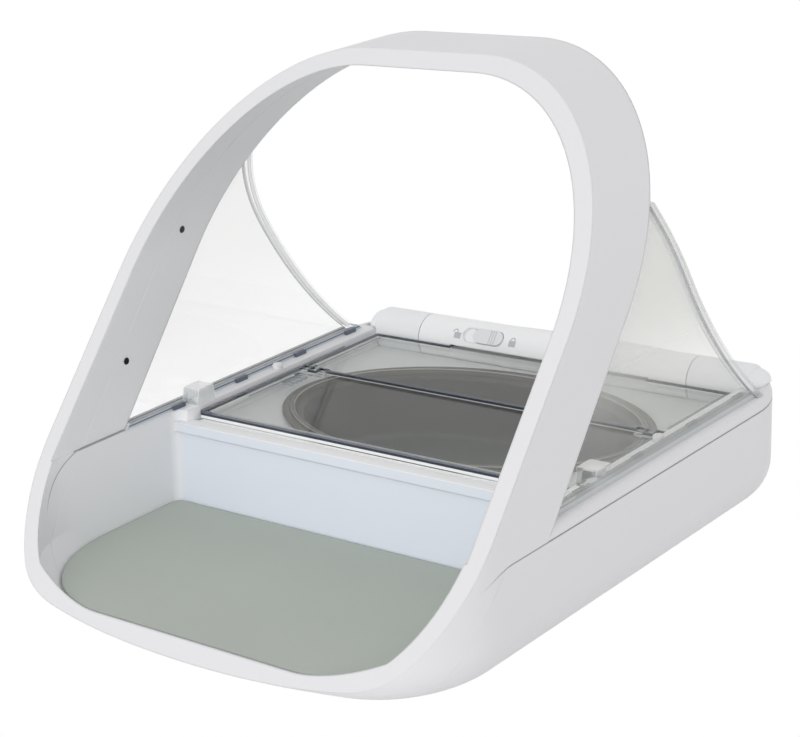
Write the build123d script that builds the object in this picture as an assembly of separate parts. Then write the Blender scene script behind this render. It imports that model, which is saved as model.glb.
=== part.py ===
from build123d import *
import math
import os

os.makedirs("parts", exist_ok=True)

# ---------------------------------------------------------------- driving dimensions, mm
overall_width = 230.0
overall_height = 201.0
foot_height = 1.5
part_line_z = 45.3
rail_z = 50.0
wall = 2.4
skin = 2.0
fit_gap = 0.3
slide_gap = 0.15
shaft_fit = 0.05

# plan outline of the body, which narrows a little towards the base
front_mid_y = -152.0
front_bow = 22.0
front_corner_r = 51.0
rear_mid_y = 140.5
rear_bow = 20.5
rear_corner_r = 43.0
base_draft = 1.9
bottom_fillet_r = 17.5
rail_fillet_r = 3.4
rear_slope_start_y = 124.0
rear_slope_end_z = 46.2

# leaning planes of the arch, each as its y at z = 0 and its lean from the vertical
front_plane_y = -144.6
front_lean = 41.07
seam_plane_y = -127.0
seam_lean = 40.46
rear_plane_y = -100.6
rear_lean = 39.96

# arch profile seen from the front
arch_corner_r = 85.5
band_depth = 7.5
inner_top_drop = 6.5
inner_corner_r = 79.0

# pet bay
floor_z = 8.2
mat_thickness = 2.0
mat_gap = 0.4
bay_front_y = -135.9
bay_rear_y = -35.3
bay_rear_top_y = -28.9
bay_side_wall = 10.1
bay_top_side_wall = 8.4
bay_corner_r = 39.0
bay_floor_corner_r = 56.0
bay_flare_z = 19.0
bay_rear_corner_r = 4.0
bulkhead_top_z = 45.0
bulkhead_lip_z = 40.4
bulkhead_lip_proud = 1.6
bulkhead_thickness = 2.6

# lid well and tray
rail_width = 15.8
well_front_y = -25.6
tray_z = 40.6
well_wall = 3.6

# lid
lid_side_gap = 2.0
lid_top_z = 48.0
lid_plate = 1.7
lid_front_y = -23.2
lid_rear_y = 98.3
drum_y = 110.0
drum_z = 46.8
drum_r = 10.5
guide_pin_inset = 3.0
guide_pin_r = 0.75
guide_pin_root = 3.0
guide_track_depth = 1.8
bar_drop = 1.0
bar_depth = 6.0
side_rib_width = 1.6
side_rib_start = 8.0
tab_side_gap = 19.0
tab_depth = 5.0
mid_gap = 0.7
knuckle_r = 2.3
knuckle_length = 4.4
mid_pin_r = 0.7
open_angle = 75.0

# hinge barrel
barrel_end_inset = 8.0
barrel_end_round = 3.0
barrel_shoulder_r = 9.0
barrel_shoulder_round = 5.5
barrel_shoulder_x = 5.5
drum_end_inset = 42.0
barrel_split_gap = 0.4
barrel_web = 3.8
trough_gap = 0.4
hub_length = 14.0
drum_bore_r = 6.0

# bowl, its cup and its seal
bowl_center_y = 37.5
bowl_side_gap = 24.0
bowl_half_y = 57.5
bowl_rim_z = 43.2
bowl_rim_width = 6.0
bowl_rim_thickness = 1.8
bowl_rim_round = 0.8
bowl_bead_width = 2.2
bowl_bead_height = 1.0
bowl_floor_z = 17.0
bowl_floor_inset_x = 21.0
bowl_floor_half_y = 38.0
bowl_floor_r = 9.0
bowl_wall = 1.8
cup_gap = 0.9
cup_floor_z = 13.4
cup_inset = 3.0
seal_width = 1.7
seal_inset = 0.7

# rest lugs on the rails beside the mid hinge
lug_r = 2.3
lug_inset = 13.2
lug_y = 32.6
lug_height = 2.6

# clear side screens
screen_inset = 4.0
screen_thickness = 2.0
screen_rear_y = 97.3
screen_curve_mid_y = 56.0
screen_curve_mid_z = 96.5
screen_tip_y = 28.2
screen_tip_z = 156.0
screen_rim_top_z = 148.0
screen_rim_width = 3.2
screen_rim_proud = 1.4
screen_foot_height = 2.4
screen_foot_in = 3.2
clip_positions = [-28.0, 12.0, 52.0, 88.0]
clip_length = 7.0
clip_width = 1.3
clip_height = 1.8

# corner guards
guard_front_y = -20.5
guard_length = 9.0
guard_inner_inset = 15.5
guard_outer_inset = 6.3
guard_top_z = 57.0
guard_skin = 1.4
guard_slope = 2.0

# drive
motor_r = 6.5
motor_length = 19.0
shaft_r = 2.0

# lock slider on the drum
lock_angle = 40.0
lock_pocket_length = 23.0
lock_pocket_width = 7.2
lock_pocket_depth = 2.2
lock_length = 16.5
lock_travel = 6.0
lock_rib = 0.7
lock_rib_count = 3
lock_stem_length = 4.0
lock_stem_width = 2.4
lock_head_length = 6.0
lock_head_width = 4.2
lock_head_low = 4.0
lock_head_t = 1.3
lock_proud = 0.4

# battery bays
cell_r = 7.25
cell_length = 50.5
cell_nub_length = 1.0
cell_front_y = 94.0
cell_pitch_y = 15.1
cell_count = 2
battery_side_gap = 28.6
battery_end_room = 5.9
battery_margin = 1.6
bay_height = 18.5
cover_thickness = 2.0
door_gap = 0.5
door_front_gap = 0.8
door_pin_r = 0.8
door_pin_proud = 1.2
door_pin_root = 3.0
door_pin_inset = 2.6
door_pin_z = 1.2
door_socket_gap = 0.08
grip_count = 3
grip_depth = 0.6
grip_pitch = 2.4
grip_width = 1.2
grip_half_length = 9.0
grip_margin = 7.0
contact_thickness = 0.5
contact_gap = 0.1
contact_half_height = 4.0
contact_margin = 1.0
spring_r = 2.4
spring_plate_r = 2.0
spring_gap = 0.15

# controls on the back
button_r = 4.6
button_pitch = 34.0
button_z = 27.0
button_travel = 1.5
button_proud = 1.6
button_flange = 1.3
button_flange_t = 1.2
button_stem_r = 1.5
button_air = 0.3
pad_margin = 9.0
pad_proud = 0.6
pad_top_margin = 5.0
pad_round_room = 2.0
board_y = 126.0
board_thickness = 1.6
board_half_x = 31.0
board_z0 = 5.5
board_height = 34.0
board_slot_top_z = 60.0
board_slot_gap = 0.1
board_boss_r = 3.0
board_boss_inset = 3.0
board_boss_depth = 3.0
tact_half = 3.0
tact_height = 1.2
tact_post_height = 2.0
chip_height = 1.4
chips = [(-20.0, 12.0, 8.0, 8.0), (4.0, 10.0, 12.0, 6.0), (22.0, 16.0, 6.0, 9.0), (-6.0, 24.0, 5.0, 5.0)]
led_r = 2.0
led_z = 36.0
led_gap = 0.1
led_proud = 0.3
switch_y = 114.0
switch_length = 9.0
switch_width = 5.0
switch_travel = 3.5
switch_sink = 0.1
switch_flange_x = 4.5
switch_flange_y = 2.0
switch_flange_t = 1.2
switch_groove_count = 3
switch_groove_pitch = 2.4
switch_groove_width = 1.0
switch_groove_depth = 0.6

# fixings and feet
boss_side_gap = 23.0
boss_ys = [-14.0, 86.0]
rear_boss_side_gap = 93.0
rear_boss_y = 104.0
rear_boss_drop = 5.6
boss_r = 3.6
boss_upper_r = 3.2
boss_split_z = 26.0
screw_r = 1.25
screw_head_r = 2.6
screw_head_h = 1.8
screw_length = 31.0
screw_sink = 0.6
screw_clearance = 0.25
screw_head_clearance = 0.3
screw_bore_gap = 0.02
screw_tip_room = 0.4
foot_r = 7.0
foot_recess = 1.2
front_foot_side_gap = 49.0
front_foot_y = -98.0
rear_foot_side_gap = 37.0
rear_foot_y = 70.0

# presence sensors in the arch
sensor_heights = [78.9, 126.4]
sensor_r = 1.5
sensor_setback = 6.9
sensor_root = 3.0
sensor_tail = 1.5
sensor_lens_root = 1.0
sensor_lens_tail = 0.3

# antenna loop
coil_gap = 0.25
coil_thickness = 1.4
coil_shift = 5.0
coil_depth = 4.0

# ---------------------------------------------------------------- derived values
eps = 0.01
big = 400.0
long_y = 220.0
over = 5.0
base_z = foot_height
half_width = overall_width / 2
bay_half_width = half_width - bay_side_wall
bay_top_half_width = half_width - bay_top_side_wall
well_half_width = half_width - rail_width
lid_half_width = well_half_width - lid_side_gap
guide_pin_end_x = well_half_width + guide_track_depth
barrel_half_length = half_width - barrel_end_inset
drum_half_length = half_width - drum_end_inset
tab_half_width = drum_half_length - tab_side_gap
lock_center_x = -drum_half_length / 2
bowl_half_x = half_width - bowl_side_gap
bowl_floor_half_x = bowl_half_x - bowl_floor_inset_x
cup_half_x = bowl_half_x - cup_inset
cup_half_y = bowl_half_y - cup_inset
guard_inner_x = half_width - guard_inner_inset
guard_outer_x = half_width - guard_outer_inset
lug_x = half_width - lug_inset
bay_x1 = half_width - battery_side_gap
bay_x0 = bay_x1 - cell_length - battery_end_room
lid_bottom_z = lid_top_z - lid_plate
guide_pin_y = lid_front_y + guide_pin_inset
mid_y = (drum_y + guide_pin_y) / 2
mid_z = lid_bottom_z
rear_boss_x = half_width - rear_boss_side_gap
boss_points = [(half_width - boss_side_gap, y) for y in boss_ys] + [(rear_boss_x, rear_boss_y)]
feet_points = [(half_width - front_foot_side_gap, front_foot_y), (half_width - rear_foot_side_gap, rear_foot_y)]


def lean_y(y0, lean, z):
    return y0 + math.tan(math.radians(lean)) * z


def box(x0, x1, y0, y1, z0, z1):
    return Pos((x0 + x1) / 2, (y0 + y1) / 2, (z0 + z1) / 2) * Box(x1 - x0, y1 - y0, z1 - z0)


def both(shape):
    return shape + mirror(shape, about=Plane.YZ)


def cyl_x(x0, x1, y, z, r):
    return Pos((x0 + x1) / 2, y, z) * Rot(0, 90, 0) * Cylinder(r, x1 - x0)


def cyl_y(x, y0, y1, z, r):
    return Pos(x, (y0 + y1) / 2, z) * Rot(90, 0, 0) * Cylinder(r, y1 - y0)


def cyl_z(x, y, z0, z1, r):
    return Pos(x, y, (z0 + z1) / 2) * Cylinder(r, z1 - z0)


def side_prism(points, x0=-big, x1=big):
    """A prism along X from points given as (y, z)."""
    face = make_face(Polyline(*[(0, y, z) for y, z in points], close=True))
    return Pos(x0, 0, 0) * extrude(face, amount=x1 - x0, dir=(1, 0, 0))


def behind(y0, lean):
    """Everything on the +Y side of a leaning plane."""
    deep = -big / 4
    low = lean_y(y0, lean, deep)
    high = lean_y(y0, lean, big)
    return side_prism([(low, deep), (3 * big, deep), (3 * big, big), (high, big)])


def slab(y0, lean0, y1, lean1):
    low = -big / 4
    return side_prism([
        (lean_y(y0, lean0, low), low),
        (lean_y(y1, lean1, low), low),
        (lean_y(y1, lean1, big), big),
        (lean_y(y0, lean0, big), big),
    ])


def tombstone(half, top, radius, y0, y1, z0=-2 * wall):
    """Arch profile in XZ, extruded along Y."""
    cx = half - radius
    cz = top - radius
    mid = radius * math.sqrt(0.5)
    outline = Polyline((-half, 0, cz), (-half, 0, z0), (half, 0, z0), (half, 0, cz))
    outline += ThreePointArc((half, 0, cz), (cx + mid, 0, cz + mid), (cx, 0, top))
    outline += Line((cx, 0, top), (-cx, 0, top))
    outline += ThreePointArc((-cx, 0, top), (-cx - mid, 0, cz + mid), (-half, 0, cz))
    face = make_face(outline)
    return Pos(0, y0, 0) * extrude(face, amount=y1 - y0, dir=(0, 1, 0))


def plan_face(inset, z):
    """Body outline with bowed ends and round corners."""
    hw = half_width - inset
    fm = front_mid_y + inset
    fe = front_mid_y + front_bow + inset
    rm = rear_mid_y - inset
    re = rear_mid_y - rear_bow - inset
    outline = ThreePointArc((-hw, fe), (0, fm), (hw, fe))
    outline += Line((hw, fe), (hw, re))
    outline += ThreePointArc((hw, re), (0, rm), (-hw, re))
    outline += Line((-hw, re), (-hw, fe))
    face = make_face(outline)
    front = [v for v in face.vertices() if v.Y < 0]
    face = fillet(front, front_corner_r - inset)
    rear = [v for v in face.vertices() if v.Y > re - eps and abs(v.X) > hw - eps]
    face = fillet(rear, rear_corner_r - inset)
    return Pos(0, 0, z) * face


def oval(half_x, half_y, z):
    return Pos(0, bowl_center_y, z) * Ellipse(half_x, half_y)


def oval_prism(half_x, half_y, z0, z1):
    return extrude(oval(half_x, half_y, z0), amount=z1 - z0)


def bay_face(half, rear_y, z, corner_r=bay_corner_r):
    outline = Polyline((-half, bay_front_y), (half, bay_front_y), (half, rear_y), (-half, rear_y), close=True)
    face = make_face(outline)
    front = [v for v in face.vertices() if v.Y < rear_y - eps]
    face = fillet(front, corner_r)
    rear = [v for v in face.vertices() if v.Y > rear_y - eps]
    face = fillet(rear, bay_rear_corner_r)
    return Pos(0, 0, z) * face


# ---------------------------------------------------------------- shared volumes
outer_plan = loft([plan_face(base_draft, base_z), plan_face(0, part_line_z)], ruled=True)
outer_plan = fillet(outer_plan.faces().sort_by(Axis.Z)[0].edges(), bottom_fillet_r)
outer_plan += extrude(plan_face(0, part_line_z), amount=overall_height)
inner_plan = loft([plan_face(wall + base_draft, base_z + wall), plan_face(wall, part_line_z)], ruled=True)
inner_plan = fillet(inner_plan.faces().sort_by(Axis.Z)[0].edges(), bottom_fillet_r - wall)
inner_plan += extrude(plan_face(wall, part_line_z), amount=overall_height)

rail_plan = extrude(plan_face(0, base_z), amount=rail_z - base_z)
rail_plan = fillet(rail_plan.faces().sort_by(Axis.Z)[-1].edges(), rail_fillet_r)
after_seam = behind(seam_plane_y, seam_lean)
arch_rear = behind(rear_plane_y, rear_lean)

bay_slope = (bay_top_half_width - bay_half_width) / (rail_z - floor_z)
bay_rear_slope = (bay_rear_top_y - bay_rear_y) / (rail_z - floor_z)


def bay_section(z, corner_r, side_skin=0.0, rear_skin=0.0):
    """The bay's outline at a height, grown by a skin where asked."""
    return bay_face(
        bay_half_width + bay_slope * (z - floor_z) + side_skin,
        bay_rear_y + bay_rear_slope * (z - floor_z) + rear_skin,
        z,
        corner_r,
    )


bay_top_z = rail_z + bay_flare_z - floor_z
bay = loft([
    bay_section(floor_z, bay_floor_corner_r),
    bay_section(bay_flare_z, bay_corner_r),
    bay_section(bay_top_z, bay_corner_r),
], ruled=True)

arch_outer = tombstone(half_width, overall_height, arch_corner_r, -long_y, long_y)
arch_inner = tombstone(
    half_width - band_depth, overall_height - inner_top_drop, inner_corner_r, -long_y - 2 * over, long_y + 2 * over
)
arch_outer_in = tombstone(
    half_width - skin, overall_height - skin, arch_corner_r - skin, -long_y - over, long_y + over
)
arch_inner_out = tombstone(
    half_width - band_depth + skin,
    overall_height - inner_top_drop + skin,
    inner_corner_r + skin,
    -long_y - over,
    long_y + over,
)
above_rail = box(-big, big, -big, big, rail_z, big)
above_part = box(-big, big, -big, big, part_line_z, big)
below_part = box(-big, big, -big, big, -big, part_line_z)
below_rail = box(-big, big, -big, big, -big, rail_z)

# ---------------------------------------------------------------- arch front cover
envelope = arch_outer & outer_plan
ring = (envelope & slab(front_plane_y, front_lean, seam_plane_y, seam_lean)) - bay
ring -= arch_inner & above_rail
band = (envelope - arch_outer_in) & slab(seam_plane_y - skin, seam_lean, rear_plane_y, rear_lean) & above_part
front_cover = ring + band
channel = (arch_outer_in - arch_inner_out) & above_rail
channel = channel & slab(front_plane_y + skin / math.cos(math.radians(front_lean)), front_lean, rear_plane_y, rear_lean)
front_cover -= channel
# ---------------------------------------------------------------- arch liner
liner_wall = (arch_inner_out - arch_inner) & slab(seam_plane_y, seam_lean, rear_plane_y, rear_lean)
rear_skin = skin / math.cos(math.radians(rear_lean))
liner_back = (arch_outer_in - arch_inner) & slab(rear_plane_y - rear_skin, rear_lean, rear_plane_y, rear_lean)
liner = (liner_wall + liner_back) & above_rail
sensor_points = [(lean_y(seam_plane_y, seam_lean, z) + sensor_setback, z) for z in sensor_heights]


def arch_inner_x(z):
    cz = overall_height - inner_top_drop - inner_corner_r
    if z <= cz:
        return half_width - band_depth
    cx = half_width - band_depth - inner_corner_r
    return cx + math.sqrt(inner_corner_r ** 2 - (z - cz) ** 2)


sensor_holes = None
sensors = None
for sensor_y, sensor_z in sensor_points:
    sx = arch_inner_x(sensor_z)
    hole = cyl_x(sx - sensor_root, sx + skin + sensor_tail, sensor_y, sensor_z, sensor_r + shaft_fit)
    lens = cyl_x(sx - sensor_lens_root, sx + skin + sensor_lens_tail, sensor_y, sensor_z, sensor_r) - arch_inner
    sensor_holes = hole if sensor_holes is None else sensor_holes + hole
    sensors = lens if sensors is None else sensors + lens
sensor_holes = both(sensor_holes)
liner -= sensor_holes
front_cover_cut = front_cover - sensor_holes
export_step(front_cover_cut, "parts/arch_front_cover.step")
export_step(liner, "parts/arch_liner.step")
export_step(both(sensors), "parts/ir_sensors.step")

# ---------------------------------------------------------------- antenna loop inside the arch
coil_off = skin + coil_gap
coil_in = coil_off + coil_thickness
coil_outer = tombstone(
    half_width - coil_off, overall_height - coil_off, arch_corner_r - coil_off, -long_y, long_y
)
coil_inner = tombstone(
    half_width - coil_in, overall_height - coil_in, arch_corner_r - coil_in, -long_y - over, long_y + over
)
coil = (coil_outer - coil_inner) & slab(
    front_plane_y + coil_shift, front_lean, front_plane_y + coil_shift + coil_depth, front_lean
)
coil = coil & box(-big, big, -big, big, rail_z + fit_gap, big)
export_step(coil, "parts/antenna_coil.step")

# ---------------------------------------------------------------- lower shell
lower = (outer_plan & below_part & after_seam) - inner_plan
lower -= bay

foot_shape = None
foot_pocket = None
for fx, fy in feet_points:
    disc = both(cyl_z(fx, fy, 0, base_z + foot_recess, foot_r))
    pocket = both(cyl_z(fx, fy, -over, base_z + foot_recess, foot_r + shaft_fit))
    foot_shape = disc if foot_shape is None else foot_shape + disc
    foot_pocket = pocket if foot_pocket is None else foot_pocket + pocket
lower -= foot_pocket
export_step(foot_shape, "parts/rubber_feet.step")

lower_boss = None
boss_hole = None
upper_boss = None
upper_hole = None
screws = None
for bx, by in boss_points:
    top_z = drum_z - rear_boss_drop if by == rear_boss_y else tray_z - wall
    head_z = base_z + screw_sink
    shank_z = head_z + screw_head_h
    tip_z = shank_z + screw_length
    low = both(cyl_z(bx, by, base_z + eps, boss_split_z, boss_r))
    hole = both(cyl_z(bx, by, 0, boss_split_z + over, screw_r + screw_clearance))
    head = both(cyl_z(bx, by, 0, shank_z, screw_head_r + screw_head_clearance))
    up = both(cyl_z(bx, by, boss_split_z + fit_gap, top_z + eps, boss_upper_r))
    bore = both(cyl_z(bx, by, boss_split_z, tip_z + screw_tip_room, screw_r + screw_bore_gap))
    screw = cyl_z(bx, by, head_z, shank_z, screw_head_r)
    screw += cyl_z(bx, by, shank_z - eps, tip_z, screw_r)
    screw -= cyl_z(bx, by, base_z, head_z + screw_head_h / 2, screw_head_r / 3)
    screw = both(screw)
    lower_boss = low if lower_boss is None else lower_boss + low
    boss_hole = hole + head if boss_hole is None else boss_hole + hole + head
    upper_boss = up if upper_boss is None else upper_boss + up
    upper_hole = bore if upper_hole is None else upper_hole + bore
    screws = screw if screws is None else screws + screw
lower += lower_boss & outer_plan
lower -= boss_hole
export_step(screws, "parts/case_screws.step")

# battery bays with their doors
bay_y0 = cell_front_y - cell_r - battery_margin
bay_y1 = cell_front_y + cell_pitch_y * (cell_count - 1) + cell_r + battery_margin
bay_ceiling = base_z + cover_thickness + bay_height
case_outer = box(bay_x0 - wall, bay_x1 + wall, bay_y0 - wall, bay_y1 + wall, base_z + wall / 2, bay_ceiling + wall)
case_inner = box(bay_x0, bay_x1, bay_y0, bay_y1, 0, bay_ceiling)
lower += both(case_outer & outer_plan)
lower -= both(case_inner)
hinge_y = bay_y0 + door_pin_inset
hinge_z = base_z + door_pin_z
door_mid_x = (bay_x0 + bay_x1) / 2
door = box(
    bay_x0 + door_gap, bay_x1 - door_gap, bay_y0 + door_front_gap, bay_y1 - door_gap, base_z, base_z + cover_thickness
)
door = door & outer_plan
pin_x0 = bay_x0 - door_pin_proud
pin_x1 = bay_x1 + door_pin_proud
door += cyl_x(pin_x0, bay_x0 + door_pin_root, hinge_y, hinge_z, door_pin_r)
door += cyl_x(bay_x1 - door_pin_root, pin_x1, hinge_y, hinge_z, door_pin_r)
lower -= both(cyl_x(pin_x0 - fit_gap, pin_x1 + fit_gap, hinge_y, hinge_z, door_pin_r + door_socket_gap))
for grip_i in range(grip_count):
    grip_y = bay_y1 - grip_margin - grip_pitch * grip_i
    door -= box(
        door_mid_x - grip_half_length, door_mid_x + grip_half_length, grip_y, grip_y + grip_width, 0, base_z + grip_depth
    )
export_step(door, "parts/battery_door_right.step")
export_step(mirror(door, about=Plane.YZ), "parts/battery_door_left.step")

cell_x0 = (bay_x0 + bay_x1 - cell_length) / 2
cell_x1 = cell_x0 + cell_length
cell_z = base_z + cover_thickness + fit_gap + cell_r
cell_ys = [cell_front_y + cell_pitch_y * cell_i for cell_i in range(cell_count)]
cells = None
for cell_y in cell_ys:
    cell = cyl_x(cell_x0, cell_x1 - cell_nub_length, cell_y, cell_z, cell_r)
    cell += cyl_x(cell_x1 - cell_nub_length - eps, cell_x1, cell_y, cell_z, cell_r / 3)
    cells = cell if cells is None else cells + cell
export_step(both(cells), "parts/battery_cells.step")

contacts = None
contact_x0 = bay_x0 + contact_gap
contact_x1 = bay_x1 - contact_gap
contact_y0 = bay_y0 + contact_margin
contact_y1 = bay_y1 - contact_margin
contact_z0 = cell_z - contact_half_height
contact_z1 = cell_z + contact_half_height
contacts = box(contact_x0, contact_x0 + contact_thickness, contact_y0, contact_y1, contact_z0, contact_z1)
contacts += box(contact_x1 - contact_thickness, contact_x1, contact_y0, contact_y1, contact_z0, contact_z1)
for cell_y in cell_ys:
    contacts += cyl_x(contact_x0 + contact_thickness - eps, cell_x0 - spring_gap, cell_y, cell_z, spring_r)
    contacts += cyl_x(cell_x1 + spring_gap, contact_x1 - contact_thickness + eps, cell_y, cell_z, spring_plate_r)
export_step(both(contacts), "parts/battery_contacts.step")

# ---------------------------------------------------------------- back controls


def rear_wall_y(x, z):
    """Outer face of the rear wall at a point, with its bow and its draft."""
    bow_r = (half_width ** 2 + rear_bow ** 2) / (2 * rear_bow)
    draft = base_draft * (part_line_z - z) / (part_line_z - base_z)
    return rear_mid_y - draft - (bow_r - math.sqrt(bow_r * bow_r - x * x))


button_x = button_pitch / 2
pad_y = rear_wall_y(button_x + button_r + pad_round_room, button_z) - wall
pad_in_y = pad_y - pad_proud
pad_half = button_x + pad_margin
pad = box(-pad_half, pad_half, pad_in_y, rear_mid_y, button_z - pad_margin, led_z + pad_top_margin)
lower += pad & outer_plan
board_back_y = board_y + board_thickness
post_y = board_back_y + tact_post_height
for side, name in ((-1, "training_button"), (1, "hatch_button")):
    bx = side * button_x
    face_y = rear_wall_y(bx, button_z)
    lower -= cyl_y(bx, pad_in_y - over, rear_mid_y + over, button_z, button_r + slide_gap)
    cap = cyl_y(bx, pad_in_y - fit_gap - eps, face_y + button_proud, button_z, button_r)
    cap += cyl_y(bx, pad_in_y - fit_gap - button_flange_t, pad_in_y - fit_gap, button_z, button_r + button_flange)
    stem_end = post_y + button_travel + button_air
    cap += cyl_y(bx, stem_end, pad_in_y - fit_gap, button_z, button_stem_r)
    export_step(cap, "parts/" + name + ".step")
lower -= cyl_y(0, pad_in_y - over, rear_mid_y + over, led_z, led_r + shaft_fit)
led = cyl_y(0, board_back_y + led_gap, rear_wall_y(0, led_z) + led_proud, led_z, led_r)
export_step(led, "parts/status_led.step")

board = box(-board_half_x, board_half_x, board_y, board_back_y, board_z0, board_z0 + board_height)
for side in (-1, 1):
    bx = side * button_x
    board += box(
        bx - tact_half, bx + tact_half, board_back_y - eps, board_back_y + tact_height,
        button_z - tact_half, button_z + tact_half
    )
    board += cyl_y(bx, board_back_y, post_y, button_z, button_stem_r)
for chip_x, chip_z, chip_w, chip_h in chips:
    board += box(
        chip_x - chip_w / 2, chip_x + chip_w / 2, board_y - chip_height, board_y + eps,
        chip_z - chip_h / 2, chip_z + chip_h / 2
    )
board_boss_x = board_half_x - board_boss_inset
board_mid_y = board_y + board_thickness / 2
board_boss = both(cyl_z(board_boss_x, board_mid_y, base_z + eps, board_z0 + board_boss_depth, board_boss_r))
lower += board_boss & outer_plan
lower -= box(
    -board_half_x - fit_gap, board_half_x + fit_gap, board_y - board_slot_gap, board_back_y + board_slot_gap,
    board_z0 - board_slot_gap, board_slot_top_z
)
export_step(board, "parts/circuit_board.step")

# close-delay switch under the base
half_switch_x = switch_length / 2
half_switch_y = switch_width / 2
slot_x = half_switch_x + switch_travel + fit_gap
slot_y = half_switch_y + slide_gap
lower -= box(-slot_x, slot_x, switch_y - slot_y, switch_y + slot_y, 0, base_z + 2 * wall)
flange_z = base_z + wall + slide_gap
knob = box(
    -half_switch_x, half_switch_x, switch_y - half_switch_y, switch_y + half_switch_y,
    base_z + switch_sink, flange_z + eps
)
flange_x = half_switch_x + switch_flange_x
flange_y = half_switch_y + switch_flange_y
knob += box(-flange_x, flange_x, switch_y - flange_y, switch_y + flange_y, flange_z, flange_z + switch_flange_t)
groove_y = half_switch_y - switch_groove_width / 2
for groove_i in range(switch_groove_count):
    groove_x = (groove_i - (switch_groove_count - 1) / 2) * switch_groove_pitch
    knob -= box(
        groove_x - switch_groove_width / 2, groove_x + switch_groove_width / 2,
        switch_y - groove_y, switch_y + groove_y, 0, base_z + switch_groove_depth
    )
export_step(knob, "parts/delay_switch.step")

export_step(lower, "parts/lower_shell.step")

# ---------------------------------------------------------------- upper shell
rim = (rail_plan & above_part & arch_rear) - inner_plan
deck = rail_plan & box(-big, big, bay_rear_y, big, rail_z - wall, rail_z)
side_deck = rail_plan & arch_rear & box(-big, big, -big, bay_rear_y + eps, rail_z - wall, rail_z)
upper = rim + deck + side_deck

# pet bay tub and bulkhead
tub = loft([
    bay_section(floor_z - skin, bay_floor_corner_r, skin, bulkhead_thickness),
    bay_section(bay_flare_z, bay_corner_r, skin, bulkhead_thickness),
    bay_section(rail_z, bay_corner_r, skin, bulkhead_thickness),
], ruled=True)
upper += tub & after_seam & inner_plan

# lid well, tray and hinge trough
well_outer = well_half_width + well_wall
upper += box(-well_outer, well_outer, well_front_y - well_wall, drum_y, tray_z - wall, rail_z)
trough_r = drum_r + trough_gap
trough_end = barrel_half_length + wall
trough = cyl_x(-trough_end, trough_end, drum_y, drum_z, trough_r + wall)
upper += trough & below_rail & inner_plan
upper += upper_boss
upper -= bay
upper -= box(-well_half_width, well_half_width, well_front_y, drum_y, tray_z, big)
bulk_top_cut = box(-well_half_width, well_half_width, bay_rear_y, well_front_y + eps, bulkhead_top_z, big)
upper -= bulk_top_cut
upper -= cyl_x(-drum_half_length - barrel_split_gap, drum_half_length + barrel_split_gap, drum_y, drum_z, trough_r)
seat_r = drum_r + shaft_fit
seat_x = drum_half_length + barrel_split_gap
main_end_x = barrel_half_length - barrel_shoulder_x
seat = cyl_x(seat_x - eps, main_end_x + shaft_fit, drum_y, drum_z, seat_r)
seat += cyl_x(seat_x, barrel_half_length + shaft_fit, drum_y, drum_z, barrel_shoulder_r + shaft_fit)
upper -= both((seat & inner_plan) + (seat & above_rail))
upper -= upper_hole

# bowl cup under the tray
cup_out = loft([
    oval(bowl_floor_half_x + cup_gap + skin, bowl_floor_half_y + cup_gap + skin, cup_floor_z - skin),
    oval(cup_half_x + skin, cup_half_y + skin, tray_z - wall + eps),
])
cup_in = loft([
    oval(bowl_floor_half_x + cup_gap, bowl_floor_half_y + cup_gap, cup_floor_z),
    oval(cup_half_x, cup_half_y, tray_z + eps),
])
upper += cup_out
upper -= cup_in

# lip band on the bulkhead
lip_low_y = bay_rear_y + bay_rear_slope * (bulkhead_lip_z - floor_z)
lip_high_y = bay_rear_y + bay_rear_slope * (bulkhead_top_z - floor_z)
lip_half = bay_half_width + bay_slope * (bulkhead_lip_z - floor_z)
upper += side_prism([
    (lip_low_y - bulkhead_lip_proud, bulkhead_lip_z),
    (lip_high_y - bulkhead_lip_proud, bulkhead_top_z),
    (well_front_y, bulkhead_top_z),
    (well_front_y, bulkhead_lip_z),
], -lip_half - eps, lip_half + eps)

# guide tracks for the lid pins
link = math.hypot(drum_y - mid_y, drum_z - mid_z)
pin_travel = 2 * link * (1 - math.cos(math.radians(open_angle)))
track_z = drum_z
track_y0 = guide_pin_y - guide_pin_r - slide_gap
track_y1 = guide_pin_y + pin_travel + guide_pin_r + fit_gap
track_r = guide_pin_r + slide_gap
track_end_x = guide_pin_end_x + fit_gap
upper -= both(box(well_half_width - eps, track_end_x, track_y0, track_y1, track_z - track_r, track_z + track_r))

# sloping rear deck
upper += inner_plan & side_prism([
    (rear_slope_start_y - wall, rail_z - wall),
    (rear_slope_start_y - wall, rail_z - eps),
    (rear_mid_y, rail_z - eps),
    (rear_mid_y, rear_slope_end_z - wall),
])
upper -= side_prism([
    (rear_slope_start_y, rail_z),
    (rear_slope_start_y, rail_z + wall),
    (rear_mid_y + wall, rail_z + wall),
    (rear_mid_y + wall, rear_slope_end_z),
])
lug = cyl_z(lug_x, lug_y, rail_z - wall, rail_z + lug_height, lug_r)
lug = fillet(lug.faces().sort_by(Axis.Z)[-1].edges(), lug_r / 2)
upper += both(lug)
export_step(upper, "parts/upper_shell.step")

# ---------------------------------------------------------------- floor mat
mat_face = bay_section(floor_z, bay_floor_corner_r, -mat_gap, -mat_gap)
mat = extrude(mat_face, amount=mat_thickness)
mat -= box(-big, big, -big, bay_front_y + mat_gap, -big, big)
export_step(mat, "parts/floor_mat.step")

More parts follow.
